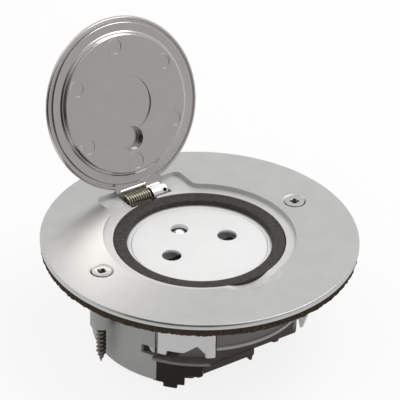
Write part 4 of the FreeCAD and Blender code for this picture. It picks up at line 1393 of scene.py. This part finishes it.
# ---------------------------------------------------------------- studio
@dataclass
class Studio:
    """Camera, soft lamps and a pale floor."""

    focal_px: float = 3544.0
    frame_px: float = 400.0
    distance: float = 997.4
    elevation: float = 33.05
    azimuth: float = -35.68
    roll: float = 1.45
    centre: Point2 = (199.73, 235.09)
    ambient: tuple[float, ...] = (-0.6, 0.7, 0.75, 0.3)
    floor_size: float = 6.0
    floor_white: float = 0.92
    floor_rough: float = 0.9
    floor_glow: float = 0.85
    dim_from: Point3 = (-0.74, -0.64, 0.2)
    dim_sky: tuple[float, ...] = (0.5, 0.88, 1.0, 0.06)
    dim_floor: tuple[float, ...] = (0.1, 0.32, 1.0, 0.2)
    front: tuple[float, ...] = (-0.95, 0.1, 0.62, 1.0)
    lamps: tuple[tuple[str, Point3, Point2, float], ...] = (
        ("key", (0.52, -0.1, 0.95), (0.7, 0.7), 6.0),
        ("back", (-0.3, 0.9, 1.1), (0.7, 0.5), 1.5))

    def build(self) -> None:
        """Set up everything around the object."""
        bpy.context.scene.view_settings.view_transform = "Standard"
        self._camera()
        self._floor()
        self._room()
        self._lamps()

    def _camera(self) -> None:
        """Aim the camera so that the plate's centre falls where the framing wants it."""
        turn, rise, roll = (math.radians(a) for a in (self.azimuth, self.elevation, self.roll))
        back = Vector((math.sin(turn) * math.cos(rise), -math.cos(turn) * math.cos(rise), math.sin(rise)))
        right = Vector((math.cos(turn), math.sin(turn), 0))
        up = back.cross(right)
        cos, sin = math.cos(roll), math.sin(roll)
        right, up = cos * right + sin * up, cos * up - sin * right
        middle = self.frame_px / 2
        look = (-back + right * (middle - self.centre[0]) / self.focal_px
                + up * (self.centre[1] - middle) / self.focal_px).normalized()
        up = (up - look * up.dot(look)).normalized()
        right = look.cross(up)
        camera = bpy.data.objects.new("camera", bpy.data.cameras.new("camera"))
        bpy.context.collection.objects.link(camera)
        place = (back * self.distance + Vector((0, 0, LEVELS.plate_top))) * MM
        camera.matrix_world = Matrix.Translation(place) @ Matrix((right, up, -look)).transposed().to_4x4()
        camera.data.lens = self.focal_px / self.frame_px * camera.data.sensor_width
        camera.data.clip_start = 0.05
        bpy.context.scene.camera = camera

    def _floor(self) -> None:
        """Lay a pale floor under the object that still takes its shadow."""
        deselect()
        bpy.ops.mesh.primitive_plane_add(size=self.floor_size, location=(0, 0, CAD_BOX[0][2] - 0.1 * MM))
        floor = bpy.context.object
        floor.name = "floor"
        material = bpy.data.materials.new("floor_white")
        material.use_nodes = True
        tree = material.node_tree
        shader = tree.nodes["Principled BSDF"]
        shader.inputs["Base Color"].default_value = (*[self.floor_white] * 3, 1)
        shader.inputs["Roughness"].default_value = self.floor_rough
        glow = tree.nodes.new("ShaderNodeEmission")
        place = tree.nodes.new("ShaderNodeTexCoord").outputs["Object"]
        level = self._unless_camera(tree, self._dim_side(tree, place, self.dim_floor))
        tree.links.new(level, glow.inputs["Color"])
        self._show(tree, self.floor_glow, shader.outputs["BSDF"], glow.outputs["Emission"], "Material Output")
        floor.data.materials.append(material)

    def _room(self) -> None:
        """Light the room from its left, and show a white backdrop with a dim near side."""
        world = bpy.data.worlds.new("studio")
        bpy.context.scene.world = world
        world.use_nodes = True
        tree = world.node_tree
        look = tree.nodes.new("ShaderNodeTexCoord").outputs["Generated"]
        parts = tree.nodes.new("ShaderNodeSeparateXYZ")
        tree.links.new(look, parts.inputs["Vector"])
        room, seen = tree.nodes["Background"], tree.nodes.new("ShaderNodeBackground")
        tree.links.new(map_range(tree, parts.outputs["X"], self.ambient, smooth=True), room.inputs["Color"])
        level = maths(tree, "MULTIPLY", self._dim_side(tree, look, self.dim_sky),
                      map_range(tree, parts.outputs["Y"], self.front, smooth=True))
        tree.links.new(self._unless_camera(tree, level), seen.inputs["Color"])
        self._show(tree, 1.0, room.outputs["Background"], seen.outputs["Background"], "World Output")

    def _show(self, tree: Tree, share: float, unseen: Socket, seen: Socket, output: str) -> None:
        """Part the rays that look at something, or mirror it, from those that only carry light.

        Args:
            tree: the nodes of the floor or the world.
            share: how much of the seen surface the rays that look get.
            unseen: what the other rays meet.
            seen: what camera, glossy and transmission rays meet.
            output: the output node's name.
        """
        rays = tree.nodes.new("ShaderNodeLightPath").outputs
        looks = maths(tree, "MAXIMUM", rays["Is Camera Ray"], rays["Is Glossy Ray"])
        looks = maths(tree, "MAXIMUM", looks, rays["Is Transmission Ray"])
        mix = tree.nodes.new("ShaderNodeMixShader")
        tree.links.new(maths(tree, "MULTIPLY", looks, share), mix.inputs["Fac"])
        tree.links.new(unseen, mix.inputs[1])
        tree.links.new(seen, mix.inputs[2])
        tree.links.new(mix.outputs["Shader"], tree.nodes[output].inputs["Surface"])

    def _dim_side(self, tree: Tree, look: Socket, change: tuple[float, ...]) -> Socket:
        """Brightness that falls off towards the dim near side of the room.

        Args:
            tree: the nodes of the floor or the world.
            look: a direction in the room or a place on its floor.
            change: where the fall starts and ends, and the brightness before and after it.

        Returns:
            The brightness.
        """
        along = tree.nodes.new("ShaderNodeVectorMath")
        along.operation = "DOT_PRODUCT"
        along.inputs[1].default_value = self.dim_from
        tree.links.new(look, along.inputs[0])
        return map_range(tree, along.outputs["Value"], change, smooth=True)

    def _unless_camera(self, tree: Tree, level: Socket) -> Socket:
        """Keep what the camera itself sees white, whatever the brightness for all other rays."""
        return maths(tree, "MAXIMUM", level, tree.nodes.new("ShaderNodeLightPath").outputs["Is Camera Ray"])

    def _lamps(self) -> None:
        """Hang soft lamps round the object."""
        for name, place, size, power in self.lamps:
            lamp = bpy.data.lights.new(name, "AREA")
            lamp.shape = "RECTANGLE"
            lamp.size, lamp.size_y = size
            lamp.energy = power
            obj = bpy.data.objects.new(name, lamp)
            bpy.context.collection.objects.link(obj)
            obj.location = place
            obj.rotation_euler = (-Vector(place)).to_track_quat("-Z", "Y").to_euler()


if __name__ == "__main__":
    main()
